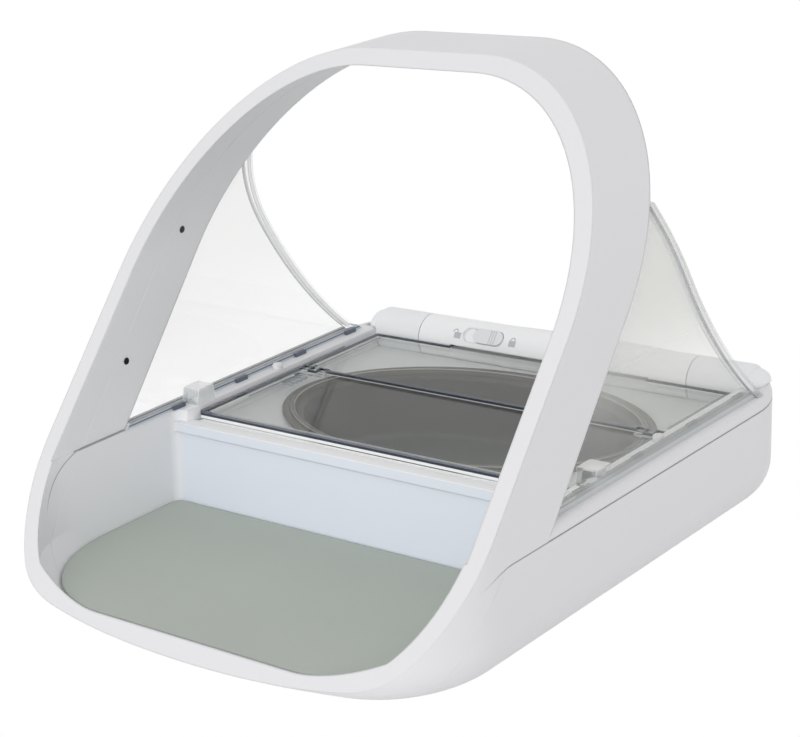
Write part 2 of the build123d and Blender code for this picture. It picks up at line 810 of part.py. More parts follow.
# ---------------------------------------------------------------- bowl and seal
rim_bottom_z = bowl_rim_z - bowl_rim_thickness
mouth_x = bowl_half_x - bowl_rim_width
mouth_y = bowl_half_y - bowl_rim_width
bowl_out = loft([
    oval(bowl_floor_half_x, bowl_floor_half_y, bowl_floor_z - bowl_wall),
    oval(mouth_x + bowl_wall, mouth_y + bowl_wall, rim_bottom_z + eps),
])
bowl_out = fillet(bowl_out.faces().sort_by(Axis.Z)[0].edges(), bowl_floor_r)
bowl_in = loft([
    oval(bowl_floor_half_x - bowl_wall, bowl_floor_half_y - bowl_wall, bowl_floor_z),
    oval(mouth_x, mouth_y, bowl_rim_z + eps),
])
bowl_in = fillet(bowl_in.faces().sort_by(Axis.Z)[0].edges(), bowl_floor_r - bowl_wall)
bowl = bowl_out + oval_prism(bowl_half_x, bowl_half_y, rim_bottom_z, bowl_rim_z)
bowl -= bowl_in
bead_z = bowl_rim_z - bowl_bead_height
step_cut = oval_prism(bowl_half_x + over, bowl_half_y + over, bead_z, bowl_rim_z + eps)
step_cut -= oval_prism(mouth_x + bowl_bead_width, mouth_y + bowl_bead_width, bead_z, bowl_rim_z + eps)
bowl -= step_cut
bowl = fillet(bowl.faces().sort_by(Axis.Z)[-1].edges(), bowl_rim_round)
export_step(bowl, "parts/bowl.step")
seal = oval_prism(cup_half_x + seal_inset + seal_width, cup_half_y + seal_inset + seal_width, tray_z, rim_bottom_z)
seal -= oval_prism(cup_half_x + seal_inset, cup_half_y + seal_inset, tray_z - eps, rim_bottom_z + eps)
export_step(seal, "parts/bowl_seal.step")

# ---------------------------------------------------------------- lid panels
bar_bottom_z = lid_bottom_z - bar_drop
front_panel = box(-lid_half_width, lid_half_width, lid_front_y, mid_y - mid_gap / 2, lid_bottom_z, lid_top_z)
front_panel += box(-lid_half_width, lid_half_width, lid_front_y, lid_front_y + bar_depth, bar_bottom_z, lid_top_z)
rear_panel = box(-lid_half_width, lid_half_width, mid_y + mid_gap / 2, lid_rear_y, lid_bottom_z, lid_top_z)
rear_panel += box(-tab_half_width, tab_half_width, lid_rear_y - eps, lid_rear_y + tab_depth, lid_bottom_z, lid_top_z)
front_panel += both(box(
    lid_half_width - side_rib_width, lid_half_width, lid_front_y, mid_y - side_rib_start, bar_bottom_z, lid_bottom_z + eps
))
rear_panel += both(box(
    lid_half_width - side_rib_width, lid_half_width, mid_y + side_rib_start, lid_rear_y, bar_bottom_z, lid_bottom_z + eps
))
knuckle_pitch = knuckle_length + fit_gap
outer_x0 = lid_half_width - knuckle_length
rear_x0 = outer_x0 - knuckle_pitch
inner_x0 = rear_x0 - knuckle_pitch
clear_r = knuckle_r + fit_gap
lobe_top_z = lid_bottom_z + knuckle_r / 2
front_panel -= both(cyl_x(rear_x0 - fit_gap, rear_x0 + knuckle_pitch, mid_y, mid_z, clear_r))
for lobe_x0 in (inner_x0, outer_x0):
    lobe_x1 = lobe_x0 + knuckle_length
    rear_panel -= both(cyl_x(lobe_x0 - fit_gap, lobe_x1 + fit_gap, mid_y, mid_z, clear_r))
    lobe = cyl_x(lobe_x0, lobe_x1, mid_y, mid_z, knuckle_r)
    lobe += box(lobe_x0, lobe_x1, mid_y - clear_r - eps, mid_y, lid_bottom_z, lobe_top_z)
    front_panel += both(lobe)
front_panel -= both(cyl_x(inner_x0 - eps, lid_half_width + eps, mid_y, mid_z, mid_pin_r + shaft_fit))
rear_x1 = rear_x0 + knuckle_length
rear_lobe = cyl_x(rear_x0, rear_x1, mid_y, mid_z, knuckle_r)
rear_lobe += box(rear_x0, rear_x1, mid_y, mid_y + clear_r + eps, lid_bottom_z, lobe_top_z)
rear_panel += both(rear_lobe)
rear_panel -= both(cyl_x(rear_x0 - eps, rear_x1 + eps, mid_y, mid_z, mid_pin_r + eps))
mid_pins = both(cyl_x(inner_x0 + fit_gap, lid_half_width - fit_gap, mid_y, mid_z, mid_pin_r))
pin_root_x = lid_half_width - guide_pin_root
front_panel -= both(cyl_x(pin_root_x, lid_half_width + eps, guide_pin_y, drum_z, guide_pin_r + eps))
guide_pins = both(cyl_x(pin_root_x, guide_pin_end_x, guide_pin_y, drum_z, guide_pin_r))
export_step(front_panel, "parts/lid_front_panel.step")
export_step(rear_panel, "parts/lid_rear_panel.step")
export_step(mid_pins, "parts/mid_hinge_pins.step")
export_step(guide_pins, "parts/guide_pins.step")

# ---------------------------------------------------------------- drive drum and lock slider
drum = cyl_x(-drum_half_length, drum_half_length, drum_y, drum_z, drum_r)
drum -= cyl_x(-drum_half_length + hub_length, drum_half_length - hub_length, drum_y, drum_z, drum_bore_r)
drum -= cyl_x(drum_half_length - hub_length - eps, drum_half_length + eps, drum_y, drum_z, shaft_r + eps)
drum -= cyl_x(-drum_half_length - eps, -drum_half_length + hub_length + eps, drum_y, drum_z, shaft_r + shaft_fit)
tab_cut = tab_half_width + shaft_fit
drum -= box(-tab_cut, tab_cut, drum_y - drum_r - eps, lid_rear_y + tab_depth + shaft_fit,
            lid_bottom_z - shaft_fit, lid_top_z + shaft_fit)
lock_plane = Plane(
    origin=(lock_center_x, drum_y, drum_z),
    x_dir=(1, 0, 0),
    z_dir=(0, -math.cos(math.radians(lock_angle)), math.sin(math.radians(lock_angle))),
)


def capsule(length, width, low, high, shift=0.0):
    return lock_plane * Pos(shift, 0, low) * extrude(SlotOverall(length, width), amount=high - low)


pocket_floor = drum_r - lock_pocket_depth
stem_top = pocket_floor + eps
drum -= capsule(lock_pocket_length, lock_pocket_width, pocket_floor, drum_r + wall)
drum -= capsule(lock_stem_length + lock_travel + slide_gap * 2, lock_stem_width + slide_gap * 2, 0, drum_r)
lock_home = lock_travel / 2
lock_body = capsule(lock_length, lock_pocket_width - 2 * slide_gap, pocket_floor + slide_gap, drum_r + lock_proud, lock_home)
lock_body += capsule(lock_stem_length, lock_stem_width, lock_head_low, pocket_floor + fit_gap, lock_home)
lock_body += capsule(lock_head_length, lock_head_width, lock_head_low, lock_head_low + lock_head_t, lock_home)
for rib_i in range(lock_rib_count):
    rib = Box(lock_rib, lock_pocket_width, lock_rib)
    rib_x = lock_home + (rib_i + 1) * 2 * lock_rib
    lock_body -= lock_plane * Pos(rib_x, 0, drum_r + lock_proud) * rib
export_step(drum, "parts/drive_drum.step")
export_step(lock_body, "parts/lock_slider.step")

# ---------------------------------------------------------------- fixed barrel ends, motor and shafts
fit_inset = wall + shaft_fit
inner_fit = loft([plan_face(fit_inset + base_draft, base_z), plan_face(fit_inset, part_line_z)], ruled=True)
inner_fit += extrude(plan_face(fit_inset, part_line_z), amount=overall_height)
barrel_x0 = drum_half_length + barrel_split_gap
barrel = cyl_x(barrel_x0, main_end_x, drum_y, drum_z, drum_r)
barrel = fillet(barrel.edges().sort_by(Axis.X)[-1], barrel_end_round)
shoulder = cyl_x(barrel_x0, barrel_half_length, drum_y, drum_z, barrel_shoulder_r)
barrel += fillet(shoulder.edges().sort_by(Axis.X)[-1], barrel_shoulder_round)
motor_x0 = barrel_x0 + barrel_web
barrel = (barrel & below_rail & inner_fit) + (barrel & above_rail & outer_plan)
barrel -= cyl_x(motor_x0, motor_x0 + motor_length + fit_gap, drum_y, drum_z, motor_r + shaft_fit)
barrel_right = barrel - cyl_x(barrel_x0 - eps, motor_x0 + eps, drum_y, drum_z, shaft_r + fit_gap)
barrel_left = mirror(barrel, about=Plane.YZ)
barrel_left -= cyl_x(-motor_x0 - eps, -barrel_x0 + eps, drum_y, drum_z, shaft_r + eps)
export_step(barrel_right, "parts/hinge_barrel_right.step")
export_step(barrel_left, "parts/hinge_barrel_left.step")
motor = cyl_x(motor_x0 + slide_gap, motor_x0 + slide_gap + motor_length, drum_y, drum_z, motor_r)
shaft_end_x = motor_x0 + motor_length / 3
motor -= cyl_x(motor_x0 - eps, shaft_end_x + fit_gap, drum_y, drum_z, shaft_r + shaft_fit)
export_step(motor, "parts/gear_motor.step")
shaft_start_x = drum_half_length - hub_length + fit_gap
export_step(cyl_x(shaft_start_x, shaft_end_x, drum_y, drum_z, shaft_r), "parts/motor_shaft.step")
export_step(cyl_x(-motor_x0, -shaft_start_x, drum_y, drum_z, shaft_r), "parts/drum_pin.step")

# ---------------------------------------------------------------- corner guards
guard_profile = [
    (guard_front_y - guard_slope, rail_z),
    (guard_front_y, guard_top_z),
    (guard_front_y + guard_length, guard_top_z),
    (guard_front_y + guard_length + guard_slope / 3, rail_z),
]
guard = side_prism(guard_profile, guard_inner_x, guard_outer_x)
inner_profile = [
    (guard_front_y - guard_slope + guard_skin, rail_z - eps),
    (guard_front_y + guard_skin, guard_top_z - guard_skin),
    (guard_front_y + guard_length - guard_skin, guard_top_z - guard_skin),
    (guard_front_y + guard_length + guard_slope / 3 - guard_skin, rail_z - eps),
]
guard -= side_prism(inner_profile, guard_inner_x + guard_skin, guard_outer_x - guard_skin)
export_step(guard, "parts/corner_guard_right.step")
export_step(mirror(guard, about=Plane.YZ), "parts/corner_guard_left.step")

# ---------------------------------------------------------------- clear side screens
screen_half = half_width - screen_inset
screen_top = overall_height - screen_inset
screen_r = arch_corner_r - screen_inset
screen_out = tombstone(screen_half, screen_top, screen_r, -long_y, long_y)
screen_in = tombstone(
    screen_half - screen_thickness,
    screen_top - screen_thickness,
    screen_r - screen_thickness,
    -long_y - over,
    long_y + over,
)
screen_low_y = lean_y(rear_plane_y, rear_lean, rail_z)
screen_tip_plane_y = lean_y(rear_plane_y, rear_lean, screen_tip_z)
edge_arc = ThreePointArc(
    (0, screen_tip_y, screen_tip_z),
    (0, screen_curve_mid_y, screen_curve_mid_z),
    (0, screen_rear_y, rail_z),
)
edge_center = edge_arc.arc_center
edge_r = edge_arc.radius
wing_outline = edge_arc + Polyline(
    (0, screen_rear_y, rail_z),
    (0, screen_low_y - wall, rail_z),
    (0, screen_tip_y - wall, screen_tip_z),
    (0, screen_tip_y, screen_tip_z),
)
wing_area = extrude(make_face(wing_outline), amount=half_width, dir=(1, 0, 0)) & arch_rear
screen = (screen_out - screen_in) & wing_area
rim_out = tombstone(
    screen_half + screen_rim_proud, screen_top + screen_rim_proud, screen_r + screen_rim_proud, -long_y, long_y
)
rim_band = cyl_x(0, half_width, edge_center.Y, edge_center.Z, edge_r + screen_rim_width)
rim_band -= cyl_x(-eps, half_width + eps, edge_center.Y, edge_center.Z, edge_r)
screen += (rim_out - screen_in) & wing_area & rim_band & box(0, big, -big, big, rail_z, screen_rim_top_z)
foot = box(screen_half - screen_foot_in - screen_thickness, screen_half, screen_low_y, screen_rear_y,
           rail_z, rail_z + screen_foot_height)
screen += foot & arch_rear & wing_area
guard_y0 = guard_front_y - guard_slope - fit_gap
guard_y1 = guard_front_y + guard_length + guard_slope / 3 + fit_gap
screen -= box(guard_inner_x, guard_outer_x + eps, guard_y0, guard_y1, rail_z - eps, guard_top_z)
export_step(screen, "parts/side_screen_right.step")
export_step(mirror(screen, about=Plane.YZ), "parts/side_screen_left.step")

clips = None
clip_x1 = screen_half - screen_foot_in - screen_thickness
for clip_y in clip_positions:
    clip = box(clip_x1 - clip_width, clip_x1, clip_y - clip_length / 2, clip_y + clip_length / 2, rail_z, rail_z + clip_height)
    clips = clip if clips is None else clips + clip
export_step(both(clips), "parts/screen_clips.step")
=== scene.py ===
"""Looks for a chip-reading pet feeder: a leaning arch over a bay, and a bowl under a folding clear lid."""

import math

import bpy
import bmesh
from mathutils import Matrix, Vector


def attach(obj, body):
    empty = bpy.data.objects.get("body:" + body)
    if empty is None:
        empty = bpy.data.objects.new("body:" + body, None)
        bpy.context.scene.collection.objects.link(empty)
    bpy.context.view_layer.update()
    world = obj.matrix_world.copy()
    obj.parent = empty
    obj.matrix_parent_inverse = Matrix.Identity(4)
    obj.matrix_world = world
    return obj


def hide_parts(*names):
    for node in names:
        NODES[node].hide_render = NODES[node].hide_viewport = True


bl_info = {
    "name": "Pet Feeder Looks",
    "version": (1, 0, 0),
    "blender": (4, 5, 0),
    "location": "View3D > Sidebar > Pet Feeder",
    "description": "Builds the finishes, trim and studio of the pet feeder",
    "category": "Add Mesh",
}

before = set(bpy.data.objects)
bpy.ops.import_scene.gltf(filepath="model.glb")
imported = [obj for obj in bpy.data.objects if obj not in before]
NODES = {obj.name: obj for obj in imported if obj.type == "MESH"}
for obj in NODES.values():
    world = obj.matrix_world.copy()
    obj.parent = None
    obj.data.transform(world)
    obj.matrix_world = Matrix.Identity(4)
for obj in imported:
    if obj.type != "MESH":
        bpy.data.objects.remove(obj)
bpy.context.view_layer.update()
MM = 0.001
PER_M = 1000

# sizes shared with the solids, mm
ARCH_FRONT_Y, ARCH_FRONT_LEAN = -144.6, 41.07
ARCH_REAR_Y, ARCH_REAR_LEAN = -100.6, 39.96
PART_LINE_Z, PART_LINE_BEND_Y, PART_LINE_FALL = 45.3, -85.0, 0.0657
RAIL_Z = 50.0
DRUM_Y, DRUM_Z, DRUM_R = 110.0, 46.8, 10.5
LID_FRONT_Y, LID_MID_Y = -23.2, 44.9
LID_HALF = 97.2
EDGE_ARC = ((28.2, 156.0), (56.0, 96.5), (97.3, 50.0))
BOWL_Y, BOWL_A, BOWL_B, BOWL_RIM_Z = 37.5, 91.0, 57.5, 43.2

# trim that only the looks have, mm
FLANGE_DROP = 1.0
STRIP_Y, STRIP_FOOT_Z = (-25.7, -23.5), 43.4
COMB_X, COMB_Y, COMB_Z = (89.2, 95.2), (27.6, 38.4), (45.6, 46.25)
CAP_X, CAP_Y, CAP_DEPTH = 104.1, -16.5, 0.9

# the studio, m: where the lamps stand, their diameter and what they aim at, and the floor
LAMP_PLACES = {"key": (0.5, -2.1, 0.55), "fill": (1.9, -0.7, 0.7), "back": (-0.8, 1.6, 1.4)}
LAMP_SIZE = 1.4
LAMP_AIM = (0, 0, 0.05)
FLOOR_RADIUS = 6.0


def circle_through(a, b, c):
    """Centre and radius of the circle through three points."""
    ax, ay = a
    bx, by = b
    cx, cy = c
    d = 2 * (ax * (by - cy) + bx * (cy - ay) + cx * (ay - by))
    aa, bb, cc = ax * ax + ay * ay, bx * bx + by * by, cx * cx + cy * cy
    ux = (aa * (by - cy) + bb * (cy - ay) + cc * (ay - by)) / d
    uy = (aa * (cx - bx) + bb * (ax - cx) + cc * (bx - ax)) / d
    return ux, uy, math.hypot(ax - ux, ay - uy)


EDGE_Y, EDGE_Z, EDGE_R = circle_through(*EDGE_ARC)
SEAM_ARC = ((-87.0, 50.2), (-98.5, 44.8), (-108.0, 34.7))
SEAM_Y, SEAM_Z, SEAM_R = circle_through(*SEAM_ARC)

# painted seams: half the width of the solid line and of its soft edge; the bay's inner sides and back, mm
SEAM_CORE, SEAM_EDGE = 0.12, 0.4
INNER_X = 108.2
BAY_BACK_Y = -22.0

# the printed padlocks, open then closed: middle in x and shift of the shackle, mm; and their turn on the drum
PADLOCKS = ((-50.8, 1.5), (-19.6, 0.0))
PADLOCK_TURN = math.radians(37.0)

# half the width of a painted line's soft edge, mm
LINE_SOFT = 0.06

# the white of the shells, as screen values
SHELL_TONE = (236, 236, 238)


# ------------------------------------------------------------------ shader maths
class Term:
    """A socket that adds Math nodes when it is used in arithmetic."""

    def __init__(self, finish, socket):
        self.finish = finish
        self.socket = socket

    def _op(self, kind, a, b=None):
        ins = {0: a}
        if b is not None:
            ins[1] = b
        return self.finish.node("ShaderNodeMath", {"operation": kind}, ins)

    def __add__(self, other):
        return self._op("ADD", self, other)

    __radd__ = __add__

    def __mul__(self, other):
        return self._op("MULTIPLY", self, other)

    __rmul__ = __mul__

    def __sub__(self, other):
        return self._op("SUBTRACT", self, other)

    def __rsub__(self, other):
        return self._op("SUBTRACT", other, self)

    def __pow__(self, other):
        return self._op("POWER", self, other)

    def __lt__(self, other):
        return self._op("LESS_THAN", self, other)

    def __gt__(self, other):
        return self._op("GREATER_THAN", self, other)

    def __abs__(self):
        return self._op("ABSOLUTE", self)

    def least(self, other):
        return self._op("MINIMUM", self, other)

    def most(self, other):
        return self._op("MAXIMUM", self, other)


class Finish:
    """One procedural material, built node by node."""

    def __init__(self, name):
        self.material = bpy.data.materials.new(name)
        self.material.use_nodes = True
        self.tree = self.material.node_tree
        self.tree.nodes.clear()
        self.out = self.tree.nodes.new("ShaderNodeOutputMaterial")
        place = self.tree.nodes.new("ShaderNodeTexCoord")
        self.place = Term(self, place.outputs["Object"])
        split = self.node("ShaderNodeSeparateXYZ", {}, {0: self.place}, raw=True)
        self.x, self.y, self.z = (Term(self, split.outputs[i]) * PER_M for i in range(3))

    def node(self, kind, settings=None, inputs=None, output=0, raw=False):
        """Add a node and wire its inputs; gives one output, or the node itself when raw."""
        made = self.tree.nodes.new(kind)
        for key, value in (settings or {}).items():
            setattr(made, key, value)
        for key, value in (inputs or {}).items():
            if isinstance(value, Term):
                self.tree.links.new(value.socket, made.inputs[key])
            else:
                made.inputs[key].default_value = value
        return made if raw else Term(self, made.outputs[output])

    def noise(self, scale, detail=3.0, rough=0.5, stretch=None):
        """Noise in the piece's own space, stretched along an axis if asked."""
        where = self.place
        if stretch:
            where = self.node("ShaderNodeMapping", {}, {"Vector": self.place, "Scale": stretch})
        inputs = {"Vector": where, "Scale": scale, "Detail": detail, "Roughness": rough}
        return self.node("ShaderNodeTexNoise", {}, inputs)

    def soft(self, value, low, high):
        """0 below low, 1 above high."""
        return self.node(
            "ShaderNodeMapRange",
            {"interpolation_type": "SMOOTHSTEP"},
            {0: value, 1: low, 2: high, 3: 0.0, 4: 1.0},
        )

    def blend(self, factor, first, second):
        """The first colour where the factor is 0, the second where it is 1."""
        made = self.node("ShaderNodeMix", {"data_type": "RGBA"}, raw=True)
        for socket, value in ((made.inputs[0], factor), (made.inputs[6], first), (made.inputs[7], second)):
            if isinstance(value, Term):
                self.tree.links.new(value.socket, socket)
            else:
                socket.default_value = value
        return Term(self, made.outputs[2])

    def normal_parts(self):
        """The x and z parts of the normal in the piece's own space, so that a mask turns with its piece."""
        own = self.node("ShaderNodeTexCoord", raw=True)
        split = self.node("ShaderNodeSeparateXYZ", {}, {0: Term(self, own.outputs["Normal"])}, raw=True)
        return [Term(self, split.outputs[i]) for i in (0, 2)]

    def shading_normal(self):
        """The normal before any bump or edge round."""
        return self.node("ShaderNodeNewGeometry", output="Normal")

    def rounded(self, radius):
        """Normals that read as a small edge round."""
        return self.node("ShaderNodeBevel", {"samples": 6}, {"Radius": radius})

    def edge_mask(self, radius):
        """1 along hard edges, 0 on flats."""
        bevel = self.rounded(radius)
        inputs = {0: bevel, 1: self.shading_normal()}
        dot = self.node("ShaderNodeVectorMath", {"operation": "DOT_PRODUCT"}, inputs, output="Value")
        return self.soft(1 - dot, 0.005, 0.12)

    def bump(self, height, strength, distance, normal=None):
        """A normal that follows a height, on top of another normal if given."""
        ins = {"Height": height, "Strength": strength, "Distance": distance}
        if normal is not None:
            ins["Normal"] = normal
        return self.node("ShaderNodeBump", {}, ins)

    def surface(self, **inputs):
        """The principled shader with the inputs named."""
        named = {key.replace("_", " "): value for key, value in inputs.items()}
        return self.node("ShaderNodeBsdfPrincipled", {}, named)

    def done(self, shader):
        """Join the shader to the output and give the material."""
        self.tree.links.new(shader.socket, self.out.inputs[0])
        return self.material


def shade(r, g, b):
    """A linear opaque colour from screen values of 0 to 255."""

    def line(v):
        v = v / 255
        return v / 12.92 if v <= 0.04045 else ((v + 0.055) / 1.055) ** 2.4

    return (line(r), line(g), line(b), 1.0)


def lean_distance(f, y0, lean):
    """Distance behind a leaning plane, mm."""
    slope = math.radians(lean)
    return (f.y - y0) * math.cos(slope) - f.z * math.sin(slope)


# ------------------------------------------------------------------ finishes
def seam_level(f):
    """The level stretch of the seam round the bay's mouth, along the rails."""
    near = 1 - f.soft(abs(f.z - RAIL_Z), SEAM_CORE, SEAM_EDGE)
    return near * f.soft(f.y, -88.0, -86.0) * (1 - f.soft(f.y, -60.0, -58.0))


def seam_curve(f):
    """The stretch of the seam that turns down towards the front."""
    off = ((f.y - SEAM_Y) ** 2.0 + (f.z - SEAM_Z) ** 2.0) ** 0.5 - SEAM_R
    near = 1 - f.soft(abs(off), SEAM_CORE, SEAM_EDGE)
    return near * f.soft(f.z, 28.0, 40.0) * (1 - f.soft(f.z, 50.2, 50.6)) * (1 - f.soft(f.y, -87.0, -86.0))


def side_line(f):
    """The part line along the outer sides and back: level, then falling away towards the front."""
    run = (PART_LINE_BEND_Y - f.y).most(0.0)
    line_z = PART_LINE_Z - PART_LINE_FALL * run**1.5
    side = f.soft(abs(f.x), 60.0, 70.0).most(f.soft(f.y, -60, -50))
    in_bay = (1 - f.soft(abs(f.x), 108.8, 109.4)) * (1 - f.soft(f.y, BAY_BACK_Y, BAY_BACK_Y + 2.0))
    fade = f.soft(f.y, -104.0, -90.0) * side * (1 - in_bay)
    return (1 - f.soft(abs(f.z - line_z), 0.10, 0.34)) * fade


def white_shell(name, edge_front=False, part_line=True, cool_wall=False, inner_seam=False):
    """Satin white moulding with a fine texture and a faint drift of tint.

    edge_front keeps the arch's front and rear edges crisp, part_line draws the line along the sides,
    cool_wall tints the wall in front of the lid and paints a highlight along its top, and inner_seam draws the
    seam inside the arch.
    """
    f = Finish(name)
    drift = f.noise(9.0, 2.0)
    base = f.blend(drift, shade(*SHELL_TONE), shade(*[v - 4 for v in SHELL_TONE]))
    if inner_seam:
        seam = seam_level(f).most(seam_curve(f)) * (1 - f.soft(abs(f.x), INNER_X, INNER_X + 0.6))
        base = f.blend(seam * 0.6, base, shade(110, 110, 114))
    if cool_wall:
        ahead = 1 - f.soft(f.y, BAY_BACK_Y, BAY_BACK_Y + 2.0)
        wall = f.soft(f.y, -37.0, -36.0) * ahead * (1 - f.soft(abs(f.x), 100.0, 106.0))
        base = f.blend(wall, base, shade(232, 237, 246))
        # painted highlight: the top of the wall in front of the lid is painted whiter
        brim_highlight = wall * f.soft(f.z, 44.2, 44.7)
        base = f.blend(brim_highlight, base, shade(252, 252, 253))
    normal = f.rounded(0.0012)
    if edge_front:
        near_front = 1 - f.soft(lean_distance(f, ARCH_FRONT_Y, ARCH_FRONT_LEAN), 3.0, 4.0)
        near_rear = f.soft(lean_distance(f, ARCH_REAR_Y, ARCH_REAR_LEAN), -4.0, -3.0)
        keep = near_front.most(near_rear * f.soft(f.z, 47.0, 48.0))
        normal = f.blend(keep, f.shading_normal(), normal)
    rough = 0.42 + f.noise(140.0, 2.0) * 0.08
    if part_line:
        line = side_line(f)
        base = f.blend(line * 0.62, base, shade(120, 118, 124))
        height = 1 - line + f.noise(900.0, 2.0) * 0.004
        normal = f.bump(height, 0.5, 0.0004, normal)
    else:
        normal = f.bump(f.noise(900.0, 2.0), 0.02, 0.0002, normal)
    skin = f.surface(Base_Color=base, Roughness=rough, Normal=normal, Specular_IOR_Level=0.35)
    return f.done(skin)


def plain_plastic(name, tone, rough=0.45, bevel=0.0004):
    """One-colour moulding with a fine grain."""
    f = Finish(name)
    drift = f.noise(25.0, 3.0)
    base = f.blend(drift, shade(*tone), shade(*[max(0, v - 6) for v in tone]))
    normal = f.bump(f.noise(500.0, 2.0), 0.05, 0.0003, f.rounded(bevel))
    return f.done(f.surface(Base_Color=base, Roughness=rough + f.noise(60.0) * 0.06, Normal=normal))


def mat_rubber():
    """Grey-green mat with a fine pebbled surface."""
    f = Finish("mat_rubber")
    drift = f.noise(14.0, 4.0)
    base = f.blend(drift, shade(188, 195, 187), shade(182, 189, 181))
    speck = f.noise(800.0, 2.0, 0.7)
    base = f.blend(f.soft(speck, 0.62, 0.75) * 0.2, base, shade(156, 162, 156))
    pebble = f.node("ShaderNodeTexVoronoi", {"feature": "SMOOTH_F1"}, {"Vector": f.place, "Scale": 900.0})
    normal = f.bump(pebble, 0.25, 0.0002, f.rounded(0.0008))
    rough = 0.62 + drift * 0.08
    return f.done(f.surface(Base_Color=base, Roughness=rough, Normal=normal, Specular_IOR_Level=0.3))


def clear_shader(f, tint, haze, gloss, paint, paint_amount):
    """Clear moulding: you see through it, with a faint haze, a soft shine and painted edge lines."""
    streak = f.noise(30.0, 3.0)
    look = f.surface(Base_Color=paint, Roughness=0.05 + streak * 0.03, Specular_IOR_Level=0.4)
    through = f.node("ShaderNodeBsdfTransparent", {}, {"Color": shade(*tint)})
    body = f.node("ShaderNodeMixShader", {}, {0: (paint_amount + haze).least(0.95), 1: through, 2: look})
    mirror = f.node("ShaderNodeBsdfGlossy", {}, {"Color": (1, 1, 1, 1), "Roughness": 0.02})
    glancing = f.node("ShaderNodeFresnel", {}, {"IOR": 1.45})
    return f.node("ShaderNodeMixShader", {}, {0: (glancing * gloss).least(0.5), 1: body, 2: mirror})


def stripes(f, value, bands, start):
    """Paint and amount for lines along an edge; each band is (from, to, colour, amount)."""
    paint, amount = start, None
    for low, high, colour, share in bands:
        past = f.soft(value, high - LINE_SOFT, high + LINE_SOFT)
        inside = f.soft(value, low - LINE_SOFT, low + LINE_SOFT) * (1 - past)
        paint = f.blend(inside, paint, shade(*colour))
        amount = amount.most(inside * share) if amount else inside * share
    return paint, amount


def lid_clear():
    """Lid panels: clear plates with bright and dark lines along their thick edges; the broad white band low on
    the front face is a painted highlight.
    """
    f = Finish("lid_clear")
    _, nz = f.normal_parts()
    upright = 1 - f.soft(abs(nz), 0.35, 0.75)
    # painted highlight: the near-white band from z 45.2 to 46.6 on the upright faces
    paint, amount = stripes(f, f.z, (
        (45.2, 46.6, (254, 255, 255), 0.95),
        (46.6, 47.75, (38, 46, 62), 0.97),
        (47.75, 48.1, (104, 114, 130), 0.95),
    ), shade(232, 238, 242))
    amount = amount * upright
    inwards = LID_HALF - abs(f.x)
    rib = f.soft(inwards, 0.4, 0.7) * (1 - f.soft(inwards, 2.4, 2.7))
    ahead = f.soft(f.y, 4.0, 6.0) * (1 - f.soft(f.y, LID_MID_Y - 5.0, LID_MID_Y - 4.0))
    behind = f.soft(f.y, LID_MID_Y + 4.0, LID_MID_Y + 5.0)
    slot = rib * ahead.most(behind) * f.soft(nz, 0.8, 0.95)
    brow = (1 - f.soft(f.y, LID_FRONT_Y + 1.2, LID_FRONT_Y + 1.6)) * (1 - upright)
    paint = f.blend(slot, paint, shade(84, 90, 100))
    rim = f.edge_mask(0.0006) * (1 - brow)
    paint = f.blend(rim * (1 - upright), paint, shade(212, 218, 226))
    paint = f.blend(brow, paint, shade(62, 70, 84))
    amount = amount.most(slot * 0.75).most(rim * 0.7 * (1 - upright)).most(brow * 0.85)
    return f.done(clear_shader(f, (247, 248, 247), 0.004, 0.12, paint, amount))


def wing_clear(name, tint, haze, veil, outer_share):
    """Side screens: a double line along the curved edge, a pale foot with a line of painted shade, and a veil
    that thickens upwards.

    tint colours what shows through, haze and veil cloud it, and the outer face keeps outer_share of the paint.
    """
    f = Finish(name)
    nx, nz = f.normal_parts()
    across = ((f.y - EDGE_Y) ** 2.0 + (f.z - EDGE_Z) ** 2.0) ** 0.5 - EDGE_R
    rim_paint, rim_amount = stripes(f, across, (
        (1.2, 1.55, (198, 202, 206), 0.7),
        (1.55, 2.9, (250, 251, 252), 0.6),
        (2.9, 3.3, (184, 189, 194), 0.8),
    ), shade(238, 240, 241))
    low = 1 - f.soft(f.z, RAIL_Z + 2.1, RAIL_Z + 2.5)
    foot_paint, foot_amount = stripes(f, abs(f.x), (
        (105.6, 106.0, (208, 215, 224), 0.85),
        (106.0, 107.4, (218, 222, 226), 0.8),
        (107.4, 107.8, (126, 134, 148), 0.85),
        (107.8, 110.0, (206, 211, 217), 0.15),
        (110.0, 110.5, (140, 147, 160), 0.85),
        (110.5, 111.4, (224, 227, 230), 0.85),
    ), shade(222, 226, 230))
    # painted shade: a dark line along the foot's upright faces, the shade of a groove
    groove_shade = f.soft(f.z, RAIL_Z + 0.75, RAIL_Z + 0.95) * (1 - f.soft(f.z, RAIL_Z + 1.4, RAIL_Z + 1.6))
    foot_paint = f.blend(groove_shade * f.soft(abs(nx), 0.6, 0.9), foot_paint, shade(118, 126, 136))
    front = 1 - f.soft(lean_distance(f, ARCH_REAR_Y, ARCH_REAR_LEAN), 0.5, 1.2)
    under = (1 - f.soft(nz, -0.9, -0.6)) * low
    rising = f.soft(f.z, 62.0, 118.0) * veil
    rim_paint = f.blend(rim_amount, shade(238, 238, 235), rim_paint)
    outer = f.soft(nx * f.x, 60.0, 90.0)
    hem = outer * (1 - f.soft(f.z, RAIL_Z + 3.4, RAIL_Z + 4.6))
    paint = f.blend(hem, f.blend(low, rim_paint, foot_paint), shade(212, 215, 217))
    amount = (rim_amount * (1 - low)).most(foot_amount * low)
    for mask in (front * 0.25, under, rising, hem * 0.6):
        amount = amount.most(mask)
    amount = amount * (1 - outer * (1 - outer_share))
    return f.done(clear_shader(f, tint, haze, 0.06, paint, amount))


